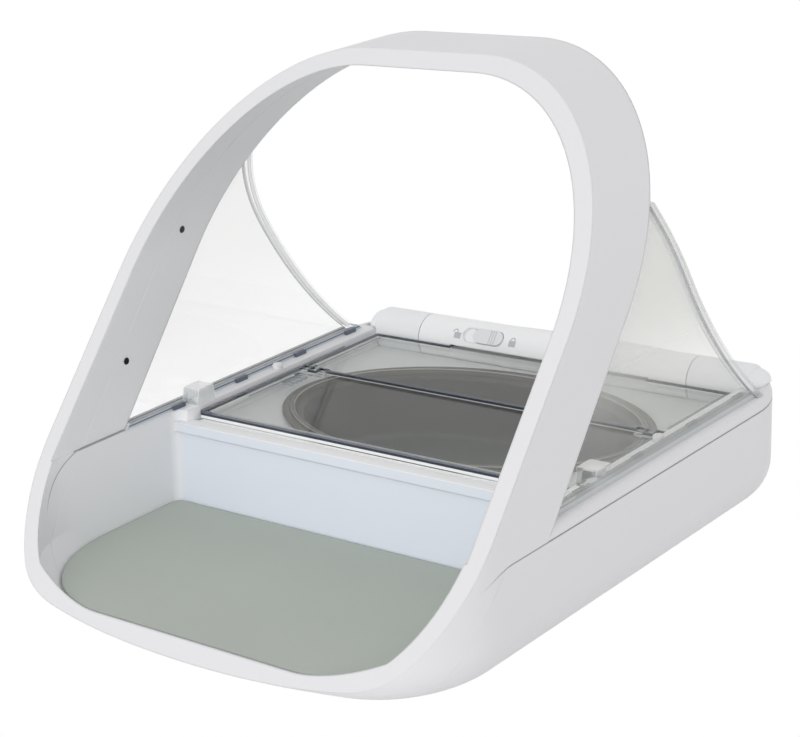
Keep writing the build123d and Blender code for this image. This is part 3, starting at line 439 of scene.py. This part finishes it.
def strip_painted_highlight():
    """The landing strip: pure white, whiter than the shells, as a painted highlight."""
    f = Finish("strip_painted_highlight")
    # painted highlight: the strip's base is pure white, whiter than the shells
    base = f.blend(f.noise(25.0, 3.0), shade(255, 255, 255), shade(250, 250, 251))
    normal = f.bump(f.noise(500.0, 2.0), 0.05, 0.0003, f.rounded(0.0003))
    return f.done(f.surface(Base_Color=base, Roughness=0.3, Normal=normal))


def guard_clear():
    """Corner guards: very clear, with pale edges."""
    f = Finish("guard_clear")
    nx, nz = f.normal_parts()
    rim = f.edge_mask(0.0006)
    top = f.soft(nz, 0.6, 0.9)
    inner = f.soft(nx * f.x * -1, 40.0, 80.0)
    paint = f.blend(top, shade(248, 250, 252), shade(250, 250, 251))
    paint = f.blend(rim, paint, shade(252, 253, 254))
    amount = (rim * 0.9).most(top * 0.7).most(inner * 0.6)
    return f.done(clear_shader(f, (251, 252, 252), 0.04, 0.25, paint, amount))


def comb_clear():
    """Hinge combs: clear, with blue-grey edges where the ribs stack up."""
    f = Finish("comb_clear")
    rim = f.edge_mask(0.0005)
    paint = f.blend(rim, shade(196, 202, 212), shade(118, 126, 146))
    return f.done(clear_shader(f, (243, 245, 248), 0.12, 0.2, paint, rim * 0.8))


def metal(name, tone):
    """Brushed metal, with the brushing along x."""
    f = Finish(name)
    brushed = f.noise(220.0, 3.0, stretch=(0.05, 1.0, 1.0))
    base = f.blend(brushed, shade(*tone), shade(*[max(0, v - 22) for v in tone]))
    normal = f.bump(brushed, 0.06, 0.0001, f.rounded(0.0002))
    return f.done(f.surface(Base_Color=base, Roughness=0.3 + brushed * 0.12, Metallic=1.0, Normal=normal))


def drum_plastic():
    """Pale barrel plastic with printed open and closed padlocks beside the lock slider."""
    f = Finish("drum_plastic")
    drift = f.noise(18.0, 2.0)
    base = f.blend(drift, shade(254, 254, 255), shade(251, 252, 253))
    angle = f.node("ShaderNodeMath", {"operation": "ARCTAN2"}, {0: f.z - DRUM_Z, 1: DRUM_Y - f.y})
    arc = (angle - PADLOCK_TURN) * DRUM_R
    for centre_x, shackle_shift in PADLOCKS:
        along = f.x - centre_x
        body = (abs(along) < 1.9) * (abs(arc + 0.7) < 1.45)
        shackle = along + shackle_shift
        ring = (shackle * shackle + (arc - 1.0) ** 2.0) ** 0.5
        loop = (ring < 1.45) * (ring > 0.85) * (arc > 1.0)
        legs = (abs(abs(shackle) - 1.15) < 0.3) * (arc > 0.6) * (arc < 1.05)
        base = f.blend(body.most(loop).most(legs) * 0.8, base, shade(176, 179, 184))
    normal = f.bump(f.noise(700.0), 0.02, 0.0002, f.rounded(0.0006))
    return f.done(f.surface(Base_Color=base, Roughness=0.4, Normal=normal))


def bowl_plastic():
    """Warm dark grey bowl: a paler flange, a painted highlight along the lip, a band at the ledge, a greener
    floor, and painted shade on the wall and next to the lip.
    """
    f = Finish("bowl_plastic")
    drift = f.noise(22.0, 3.0)
    _, nz = f.normal_parts()
    flat = f.soft(nz, 0.75, 0.95)
    height = f.z - BOWL_RIM_Z
    floor = flat * (1 - f.soft(height, -25.2, -21.2))
    # painted shade: the wall is painted darker than the flat floor, as shade on the wall
    wall = f.blend(drift, shade(50, 46, 44), shade(45, 42, 40))
    base = f.blend(floor, wall, shade(64, 67, 64))
    base = f.blend(f.soft(height, -4.2, -3.9), base, shade(66, 61, 57))
    base = f.blend(f.soft(height, -2.0, -1.7), base, shade(84, 77, 71))
    # painted highlight: a pale line along the top of the rolled lip
    lip_highlight = f.soft(height, -0.55, -0.45) * (1 - f.soft(height, -0.2, -0.1))
    base = f.blend(lip_highlight * 0.8, base, shade(196, 192, 186))
    # painted shade: the groove between the flange and the lip is painted darker
    groove_shade = f.soft(height, -1.5, -1.25) * (1 - f.soft(height, -1.02, -0.98))
    base = f.blend(groove_shade * flat * 0.6, base, shade(58, 53, 50))
    normal = f.bump(f.noise(300.0, 2.0), 0.015, 0.0003, f.rounded(0.0004))
    return f.done(f.surface(Base_Color=base, Roughness=0.36 + drift * 0.08, Normal=normal))


def circuit_finish():
    """Green board with a pattern of tracks."""
    f = Finish("circuit_finish")
    greens = {"Color1": shade(24, 92, 52), "Color2": shade(30, 104, 60), "Mortar": shade(18, 70, 40)}
    tracks = f.node("ShaderNodeTexBrick", {}, {"Vector": f.place, "Scale": 90.0, **greens})
    return f.done(f.surface(Base_Color=tracks, Roughness=0.35, Normal=f.bump(f.noise(300.0), 0.05, 0.0002)))


def coil_finish():
    """Enamelled copper, with the turns of the wire as fine ridges."""
    f = Finish("coil_finish")
    depth = lean_distance(f, ARCH_FRONT_Y, ARCH_FRONT_LEAN)
    turns = f.node("ShaderNodeMath", {"operation": "SINE"}, {0: depth * 14.0})
    base = f.blend(turns * 0.5 + 0.5, shade(150, 84, 40), shade(200, 128, 70))
    return f.done(f.surface(Base_Color=base, Roughness=0.35, Metallic=0.9, Normal=f.bump(turns, 0.3, 0.0002)))


def cell_finish():
    """Dark cell jackets with bare brass ends."""
    f = Finish("cell_finish")
    ends = f.soft(abs(f.x), 79.5, 80.5)
    base = f.blend(ends, shade(52, 56, 64), shade(188, 150, 84))
    base = f.blend(f.noise(40.0) * 0.3, base, shade(90, 94, 100))
    normal = f.bump(f.noise(200.0), 0.04, 0.0002)
    return f.done(f.surface(Base_Color=base, Roughness=0.38, Metallic=0.4, Normal=normal))


def finish_table():
    """The finish of each solid, by node name."""
    shell = white_shell("white_shell")
    tub = white_shell("white_tub", cool_wall=True, inner_seam=True)
    cover = white_shell("white_cover", edge_front=True, inner_seam=True)
    inner = white_shell("white_liner", part_line=False, inner_seam=True)
    pale = plain_plastic("pale_plastic", (240, 242, 244))
    barrel = plain_plastic("barrel_plastic", (249, 250, 252), bevel=0.0006)
    clear_lid = lid_clear()
    guard = guard_clear()
    dark = plain_plastic("dark_trim", (96, 104, 118), rough=0.3)
    steel = metal("steel", (176, 178, 182))
    seal = plain_plastic("seal_rubber", (150, 152, 150), rough=0.6)
    rubber = plain_plastic("foot_rubber", (70, 70, 72), rough=0.7)
    sensor = plain_plastic("sensor_window", (28, 26, 30), rough=0.2)
    lens = plain_plastic("led_lens", (206, 220, 206), rough=0.15)
    motor = metal("motor_can", (150, 152, 156))
    return {
        "lower_shell": shell,
        "upper_shell": tub,
        "arch_front_cover": cover,
        "arch_liner": inner,
        "battery_door_left": shell,
        "battery_door_right": shell,
        "floor_mat": mat_rubber(),
        "bowl": seal,
        "bowl_seal": seal,
        "lid_front_panel": clear_lid,
        "lid_rear_panel": clear_lid,
        "mid_hinge_pins": steel,
        "guide_pins": steel,
        "side_screen_left": wing_clear("wing_left_clear", (253, 253, 253), 0.015, 0.10, 0.25),
        "side_screen_right": wing_clear("wing_right_clear", (251, 251, 250), 0.05, 0.42, 1.0),
        "corner_guard_left": guard,
        "corner_guard_right": guard,
        "screen_clips": dark,
        "hinge_barrel_left": barrel,
        "hinge_barrel_right": barrel,
        "drive_drum": drum_plastic(),
        "drum_pin": steel,
        "gear_motor": motor,
        "motor_shaft": steel,
        "lock_slider": pale,
        "circuit_board": circuit_finish(),
        "antenna_coil": coil_finish(),
        "ir_sensors": sensor,
        "battery_cells": cell_finish(),
        "battery_contacts": steel,
        "training_button": pale,
        "hatch_button": pale,
        "status_led": lens,
        "delay_switch": pale,
        "rubber_feet": rubber,
        "case_screws": steel,
    }


# ------------------------------------------------------------------ modelling helpers
def clear_selection():
    """Leave edit mode with nothing selected."""
    if bpy.context.mode != "OBJECT":
        bpy.ops.object.mode_set(mode="OBJECT")
    bpy.ops.object.select_all(action="DESELECT")


def block(name, low, high):
    """A block between two corners in mm, ready to be shaped."""
    clear_selection()
    middle = [(a + b) / 2 * MM for a, b in zip(low, high)]
    bpy.ops.mesh.primitive_cube_add(size=1.0, location=middle)
    piece = bpy.context.object
    piece.name = name
    piece.scale = [(b - a) * MM for a, b in zip(low, high)]
    bpy.ops.object.transform_apply(location=True, rotation=True, scale=True)
    return piece


def select_faces(piece, wanted):
    """Select the faces whose middle in mm and normal are wanted."""
    if bpy.context.mode != "EDIT_MESH":
        bpy.ops.object.mode_set(mode="EDIT")
    bpy.ops.mesh.select_mode(type="FACE")
    bpy.ops.mesh.select_all(action="DESELECT")
    net = bmesh.from_edit_mesh(piece.data)
    for face in net.faces:
        face.select_set(bool(wanted(face.calc_center_median() / MM, face.normal)))
    net.select_flush_mode()
    bmesh.update_edit_mesh(piece.data)


def select_edges(piece, wanted):
    """Select the edges whose middle in mm and direction are wanted."""
    if bpy.context.mode != "EDIT_MESH":
        bpy.ops.object.mode_set(mode="EDIT")
    bpy.ops.mesh.select_mode(type="EDGE")
    bpy.ops.mesh.select_all(action="DESELECT")
    net = bmesh.from_edit_mesh(piece.data)
    for edge in net.edges:
        a, b = (v.co / MM for v in edge.verts)
        edge.select_set(bool(wanted((a + b) / 2, (b - a).normalized())))
    net.select_flush_mode()
    bmesh.update_edit_mesh(piece.data)


def pull(rise):
    """Extrude the selected faces up by a distance in mm, or down if it is negative."""
    bpy.ops.mesh.extrude_region_move(TRANSFORM_OT_translate={"value": (0.0, 0.0, rise * MM)})


def hand_over(piece, body, finish, edge_round=0.0, smooth=35.0):
    """Round the edges (mm), smooth below an angle (degrees), give the finish and ride the body."""
    if bpy.context.mode != "OBJECT":
        bpy.ops.object.mode_set(mode="OBJECT")
    clear_selection()
    piece.select_set(True)
    bpy.context.view_layer.objects.active = piece
    if edge_round:
        rounding = piece.modifiers.new("edge_round", "BEVEL")
        rounding.width = edge_round * MM
        rounding.segments = 3
        rounding.limit_method = "ANGLE"
        bpy.ops.object.modifier_apply(modifier=rounding.name)
    bpy.ops.object.shade_smooth_by_angle(angle=math.radians(smooth))
    piece.data.materials.clear()
    piece.data.materials.append(finish)
    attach(piece, body)
    return piece


def other_side(piece, name):
    """A copy of a piece on the other side of the feeder, with its own mesh."""
    clear_selection()
    piece.select_set(True)
    bpy.context.view_layer.objects.active = piece
    bpy.ops.object.duplicate(linked=False)
    twin = bpy.context.object
    twin.name = name
    bpy.ops.transform.resize(value=(-1.0, 1.0, 1.0), center_override=(0.0, 0.0, 0.0))
    bpy.ops.object.transform_apply(location=True, rotation=True, scale=True)
    bpy.ops.object.mode_set(mode="EDIT")
    bpy.ops.mesh.select_all(action="SELECT")
    bpy.ops.mesh.normals_make_consistent(inside=False)
    bpy.ops.object.mode_set(mode="OBJECT")
    return twin


# ------------------------------------------------------------------ operators
class FEEDER_OT_bowl(bpy.types.Operator):
    """Turn the oval bowl ring by ring: foot, wall, flange, rolled lip, ledge and floor"""

    bl_idname = "feeder.bowl"
    bl_label = "Bowl"

    def execute(self, context):
        p = context.scene.feeder_bowl
        mouth, wall, lip = p.flange / MM, p.wall / MM, p.lip / MM
        foot = p.foot / MM
        rim, floor = BOWL_RIM_Z, p.floor_height / MM
        flange_top = rim - FLANGE_DROP
        ledge = rim - p.ledge_depth / MM
        ledge_in = mouth + p.ledge_width / MM
        foot_b = BOWL_B - p.foot_half_y / MM
        # each ring is its inset from the rim's ellipse in x and in y, and its height, in mm
        rings = [
            # under the foot and up the outer wall
            (foot + 11.0, foot_b + 11.0, floor - wall),
            (foot + 6.0, foot_b + 6.0, floor - wall + 0.15),
            (foot + 2.2, foot_b + 2.2, floor - wall + 1.5),
            (foot, foot_b, floor - wall + 4.2),
            (mouth - wall, mouth - wall, flange_top - 0.9),
            # round the flange
            (0.4, 0.4, flange_top - 0.9),
            (0.0, 0.0, flange_top - 0.5),
            (0.0, 0.0, flange_top - 0.3),
            (0.4, 0.4, flange_top),
            # the groove and the rolled lip
            (mouth - lip - 1.0, mouth - lip - 1.0, flange_top),
            (mouth - lip - 0.4, mouth - lip - 0.4, flange_top - 0.3),
            (mouth - lip, mouth - lip, flange_top + 0.1),
            (mouth - lip + 0.15, mouth - lip + 0.15, rim - 0.3),
            (mouth - lip + 0.6, mouth - lip + 0.6, rim),
            (mouth - 0.7, mouth - 0.7, rim),
            (mouth - 0.2, mouth - 0.2, rim - 0.3),
            (mouth, mouth, rim - 0.9),
            # the ledge
            (mouth + 0.7, mouth + 0.7, ledge + 0.5),
            (mouth + 1.2, mouth + 1.2, ledge),
            (ledge_in - 0.5, ledge_in - 0.5, ledge - 0.3),
            (ledge_in, ledge_in, ledge - 0.8),
            # down the inner wall and across the floor
            (foot + wall - 1.2, foot_b + wall - 1.2, floor + 4.6),
            (foot + wall + 1.4, foot_b + wall + 1.4, floor + 1.9),
            (foot + wall + 4.0, foot_b + wall + 4.0, floor + 0.5),
            (foot + wall + 7.2, foot_b + wall + 7.2, floor),
            (foot + wall + 20.0, foot_b + wall + 16.0, floor),
        ]
        clear_selection()
        in_x, in_y, z = rings[0]
        middle = (0.0, BOWL_Y * MM, z * MM)
        bpy.ops.mesh.primitive_circle_add(vertices=p.steps, radius=MM, fill_type="NGON", location=middle)
        bowl = context.object
        bowl.name = "oval_bowl"
        bowl.scale = (BOWL_A - in_x, BOWL_B - in_y, 1.0)
        bpy.ops.object.transform_apply(location=True, rotation=True, scale=True)
        bpy.ops.object.mode_set(mode="EDIT")
        bpy.ops.mesh.select_mode(type="EDGE")
        bpy.ops.mesh.select_all(action="SELECT")
        for next_x, next_y, next_z in rings[1:]:
            bpy.ops.mesh.extrude_edges_move(TRANSFORM_OT_translate={"value": (0.0, 0.0, (next_z - z) * MM)})
            bpy.ops.transform.resize(
                value=((BOWL_A - next_x) / (BOWL_A - in_x), (BOWL_B - next_y) / (BOWL_B - in_y), 1.0),
                center_override=(0.0, BOWL_Y * MM, next_z * MM),
            )
            in_x, in_y, z = next_x, next_y, next_z
        bpy.ops.mesh.edge_face_add()
        bpy.ops.mesh.select_all(action="SELECT")
        bpy.ops.mesh.normals_make_consistent(inside=False)
        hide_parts("bowl")
        hand_over(bowl, "housing", bowl_plastic(), smooth=50.0)
        return {"FINISHED"}


class FEEDER_OT_landing_strip(bpy.types.Operator):
    """Lay the strip that the lid's front edge comes down on; its pure white is a painted highlight"""

    bl_idname = "feeder.landing_strip"
    bl_label = "Landing strip"

    def execute(self, context):
        p = context.scene.feeder_trim
        half = LID_HALF - 1.6
        near, far = STRIP_Y
        strip = block("landing_strip", (-half, near, STRIP_FOOT_Z), (half, far, p.strip_height / MM))
        select_faces(strip, lambda middle, normal: normal.z > 0.9)
        bpy.ops.mesh.inset(thickness=0.45 * MM, depth=0.0)
        pull(-0.3)
        hand_over(strip, "housing", strip_painted_highlight(), edge_round=0.15)
        return {"FINISHED"}


class FEEDER_OT_hinge_combs(bpy.types.Operator):
    """Model the clear ribbed blocks under the lid beside the mid hinge"""

    bl_idname = "feeder.hinge_combs"
    bl_label = "Hinge combs"

    def execute(self, context):
        p = context.scene.feeder_trim
        count = p.comb_ribs
        low_y, high_y = COMB_Y
        step = (high_y - low_y) / (2 * count - 1)
        comb = block("hinge_comb_right", (COMB_X[0], low_y, COMB_Z[0]), (COMB_X[1], high_y, COMB_Z[1]))
        select_edges(comb, lambda middle, along: abs(along.y) > 0.9)
        bpy.ops.mesh.subdivide(number_cuts=2 * count - 2)
        select_faces(comb, lambda middle, normal: normal.z < -0.9 and int((middle.y - low_y) / step) % 2 == 0)
        pull(-p.comb_depth / MM)
        bpy.ops.transform.resize(value=(0.82, 1.0, 1.0), center_override=(sum(COMB_X) / 2 * MM, 0.0, 0.0))
        select_faces(comb, lambda middle, normal: normal.z > 0.9)
        bpy.ops.mesh.inset(thickness=0.5 * MM, depth=0.0)
        finish = comb_clear()
        hand_over(comb, "lid_front", finish, edge_round=0.12)
        hand_over(other_side(comb, "hinge_comb_left"), "lid_front", finish)
        return {"FINISHED"}


class FEEDER_OT_guard_caps(bpy.types.Operator):
    """Set the white caps on the rails inside the corner guards"""

    bl_idname = "feeder.guard_caps"
    bl_label = "Guard caps"

    def execute(self, context):
        p = context.scene.feeder_trim
        clear_selection()
        depth = CAP_DEPTH * MM
        middle = (CAP_X * MM, CAP_Y * MM, RAIL_Z * MM + depth / 2)
        bpy.ops.mesh.primitive_cylinder_add(vertices=48, radius=p.cap_radius, depth=depth, location=middle)
        cap = context.object
        cap.name = "guard_cap_right"
        bpy.ops.object.transform_apply(location=True, rotation=True, scale=True)
        select_faces(cap, lambda middle, normal: normal.z > 0.9)
        bpy.ops.mesh.inset(thickness=0.7 * MM, depth=0.0)
        pull(-0.35)
        bpy.ops.mesh.inset(thickness=1.0 * MM, depth=0.0)
        pull(0.3)
        finish = plain_plastic("cap_white", (250, 250, 250), rough=0.35)
        hand_over(cap, "housing", finish, edge_round=0.12)
        hand_over(other_side(cap, "guard_cap_left"), "housing", finish)
        return {"FINISHED"}


class FEEDER_OT_camera(bpy.types.Operator):
    """Place the camera"""

    bl_idname = "feeder.camera"
    bl_label = "Camera"

    def execute(self, context):
        p = context.scene.feeder_stage
        back = Vector((
            math.sin(p.yaw) * math.cos(p.pitch),
            -math.cos(p.yaw) * math.cos(p.pitch),
            math.sin(p.pitch),
        ))
        side = (-back).cross(Vector((0, 0, 1))).normalized()
        up = side.cross(-back)
        c, s = math.cos(p.roll), math.sin(p.roll)
        right = side * c + up * s
        top = up * c - side * s
        data = bpy.data.cameras.new("feeder_camera")
        data.sensor_width = 36.0
        data.lens = p.lens
        data.clip_start = 0.05
        camera = bpy.data.objects.new("feeder_camera", data)
        context.scene.collection.objects.link(camera)
        turn = Matrix((right, top, back)).transposed().to_4x4()
        camera.matrix_world = Matrix.Translation(Vector(p.camera_place)) @ turn
        context.scene.camera = camera
        return {"FINISHED"}


class FEEDER_OT_stage(bpy.types.Operator):
    """Lay the pale floor and set the soft studio light"""

    bl_idname = "feeder.stage"
    bl_label = "Studio"

    def execute(self, context):
        p = context.scene.feeder_stage
        scene = context.scene
        scene.view_settings.view_transform = "Standard"
        world = bpy.data.worlds.new("studio_world")
        scene.world = world
        world.use_nodes = True
        tree = world.node_tree
        tree.nodes.clear()
        out = tree.nodes.new("ShaderNodeOutputWorld")
        dim = tree.nodes.new("ShaderNodeBackground")
        dim.inputs[0].default_value = (1.0, 1.0, 1.0, 1.0)
        dim.inputs[1].default_value = p.world_light
        white = tree.nodes.new("ShaderNodeBackground")
        white.inputs[0].default_value = (1.0, 1.0, 1.0, 1.0)
        white.inputs[1].default_value = 1.0
        # white where it is seen or mirrored, dimmer where it only lights
        rays = tree.nodes.new("ShaderNodeLightPath")
        seen = tree.nodes.new("ShaderNodeMath")
        seen.operation = "MAXIMUM"
        tree.links.new(rays.outputs["Is Camera Ray"], seen.inputs[0])
        tree.links.new(rays.outputs["Is Transmission Ray"], seen.inputs[1])
        both = tree.nodes.new("ShaderNodeMath")
        both.operation = "MAXIMUM"
        tree.links.new(seen.outputs[0], both.inputs[0])
        tree.links.new(rays.outputs["Is Glossy Ray"], both.inputs[1])
        mix = tree.nodes.new("ShaderNodeMixShader")
        tree.links.new(both.outputs[0], mix.inputs[0])
        tree.links.new(dim.outputs[0], mix.inputs[1])
        tree.links.new(white.outputs[0], mix.inputs[2])
        tree.links.new(mix.outputs[0], out.inputs[0])

        clear_selection()
        bpy.ops.mesh.primitive_circle_add(vertices=64, radius=FLOOR_RADIUS, fill_type="NGON")
        floor = context.object
        floor.name = "studio_floor"
        f = Finish("studio_floor")
        grain = f.noise(3.0)
        tone = f.blend(grain, shade(244, 244, 244), shade(242, 242, 242))
        paper = f.surface(Base_Color=tone, Roughness=0.9)
        rays = f.node("ShaderNodeLightPath", raw=True)
        seen = Term(f, rays.outputs["Is Camera Ray"]).most(Term(f, rays.outputs["Is Transmission Ray"]))
        seen = seen.most(Term(f, rays.outputs["Is Glossy Ray"]))
        glow = f.node("ShaderNodeEmission", {}, {"Color": (1, 1, 1, 1), "Strength": 1.0})
        f.done(f.node("ShaderNodeMixShader", {}, {0: seen * p.floor_white, 1: paper, 2: glow}))
        floor.data.materials.append(f.material)

        for name, power in (("key", p.key_power), ("fill", p.fill_power), ("back", p.back_power)):
            lamp = bpy.data.lights.new(name, "AREA")
            lamp.shape = "DISK"
            lamp.size = LAMP_SIZE
            lamp.energy = power
            holder = bpy.data.objects.new(name, lamp)
            scene.collection.objects.link(holder)
            place = Vector(LAMP_PLACES[name])
            holder.location = place
            holder.rotation_mode = "QUATERNION"
            holder.rotation_quaternion = (Vector(LAMP_AIM) - place).to_track_quat("-Z", "Y")
        return {"FINISHED"}


class FEEDER_OT_finishes(bpy.types.Operator):
    """Give every solid its finish"""

    bl_idname = "feeder.finishes"
    bl_label = "Finishes"

    def execute(self, context):
        table = finish_table()
        for name, node in NODES.items():
            node.data.materials.clear()
            node.data.materials.append(table[name])
        return {"FINISHED"}


class FeederBowlSettings(bpy.types.PropertyGroup):
    flange: bpy.props.FloatProperty(
        name="Flange", description="Width of the flange round the mouth", default=6.0 * MM, unit="LENGTH"
    )
    lip: bpy.props.FloatProperty(
        name="Lip", description="Width of the rolled lip", default=2.2 * MM, unit="LENGTH"
    )
    wall: bpy.props.FloatProperty(name="Wall", description="Wall thickness", default=1.8 * MM, unit="LENGTH")
    foot: bpy.props.FloatProperty(
        name="Foot inset", description="How far the foot sits in from the rim",
        default=21.0 * MM, unit="LENGTH",
    )
    foot_half_y: bpy.props.FloatProperty(
        name="Foot half length",
        description="Half the foot along the feeder",
        default=38.0 * MM,
        unit="LENGTH",
    )
    floor_height: bpy.props.FloatProperty(
        name="Floor height", description="Height of the bowl's floor", default=17.0 * MM, unit="LENGTH"
    )
    ledge_depth: bpy.props.FloatProperty(
        name="Ledge depth", description="How far the ledge is below the lip", default=3.2 * MM, unit="LENGTH"
    )
    ledge_width: bpy.props.FloatProperty(
        name="Ledge width", description="How far the ledge comes in from the lip",
        default=3.8 * MM, unit="LENGTH",
    )
    steps: bpy.props.IntProperty(name="Steps", description="Faces round the bowl", default=144, min=24)


class FeederTrimSettings(bpy.types.PropertyGroup):
    strip_height: bpy.props.FloatProperty(
        name="Strip height", description="Top of the landing strip", default=45.12 * MM, unit="LENGTH"
    )
    comb_ribs: bpy.props.IntProperty(
        name="Comb ribs", description="Ribs on each hinge comb", default=4, min=2
    )
    comb_depth: bpy.props.FloatProperty(
        name="Comb depth", description="How far the ribs hang down", default=0.8 * MM, unit="LENGTH"
    )
    cap_radius: bpy.props.FloatProperty(
        name="Cap radius", description="Radius of the guard caps", default=2.9 * MM, unit="LENGTH"
    )


class FeederStageSettings(bpy.types.PropertyGroup):
    lens: bpy.props.FloatProperty(name="Lens", description="Focal length", default=94.698, unit="CAMERA")
    camera_place: bpy.props.FloatVectorProperty(
        name="Camera place",
        description="Where the camera stands",
        default=(0.53095, -0.62555, 0.34781),
        subtype="XYZ",
    )
    yaw: bpy.props.FloatProperty(
        name="Yaw", description="Turn round the feeder", default=math.radians(40.39), subtype="ANGLE"
    )
    pitch: bpy.props.FloatProperty(
        name="Pitch", description="Angle above level", default=math.radians(18.38), subtype="ANGLE"
    )
    roll: bpy.props.FloatProperty(
        name="Roll", description="Tilt of the frame", default=math.radians(-4.81), subtype="ANGLE"
    )
    world_light: bpy.props.FloatProperty(
        name="World light", description="Ambient level", default=0.71, min=0.0
    )
    key_power: bpy.props.FloatProperty(
        name="Key", description="Key lamp power", default=13.5, min=0.0, unit="POWER"
    )
    fill_power: bpy.props.FloatProperty(
        name="Fill", description="Fill lamp power", default=1.0, min=0.0, unit="POWER"
    )
    back_power: bpy.props.FloatProperty(
        name="Back", description="Back lamp power", default=0.6, min=0.0, unit="POWER"
    )
    floor_white: bpy.props.FloatProperty(
        name="Floor white", description="How white the floor shows", default=1.0, min=0.0, max=1.0
    )


class FEEDER_PT_panel(bpy.types.Panel):
    """Lists the building steps"""

    bl_idname = "FEEDER_PT_panel"
    bl_label = "Pet Feeder"
    bl_space_type = "VIEW_3D"
    bl_region_type = "UI"
    bl_category = "Pet Feeder"

    def draw(self, context):
        for step in STEPS:
            self.layout.operator(step.bl_idname)


STEPS = (
    FEEDER_OT_camera,
    FEEDER_OT_stage,
    FEEDER_OT_finishes,
    FEEDER_OT_bowl,
    FEEDER_OT_landing_strip,
    FEEDER_OT_hinge_combs,
    FEEDER_OT_guard_caps,
)
GROUPS = (FeederStageSettings, FeederBowlSettings, FeederTrimSettings)


def register():
    for group in GROUPS:
        bpy.utils.register_class(group)
    bpy.types.Scene.feeder_stage = bpy.props.PointerProperty(type=FeederStageSettings)
    bpy.types.Scene.feeder_bowl = bpy.props.PointerProperty(type=FeederBowlSettings)
    bpy.types.Scene.feeder_trim = bpy.props.PointerProperty(type=FeederTrimSettings)
    for step in STEPS:
        bpy.utils.register_class(step)
    bpy.utils.register_class(FEEDER_PT_panel)


def unregister():
    bpy.utils.unregister_class(FEEDER_PT_panel)
    for step in reversed(STEPS):
        bpy.utils.unregister_class(step)
    del bpy.types.Scene.feeder_trim
    del bpy.types.Scene.feeder_bowl
    del bpy.types.Scene.feeder_stage
    for group in reversed(GROUPS):
        bpy.utils.unregister_class(group)


def main():
    register()
    for step in STEPS:
        family, name = step.bl_idname.split(".")
        getattr(getattr(bpy.ops, family), name)()
    bpy.context.view_layer.update()


if __name__ == "__main__":
    main()
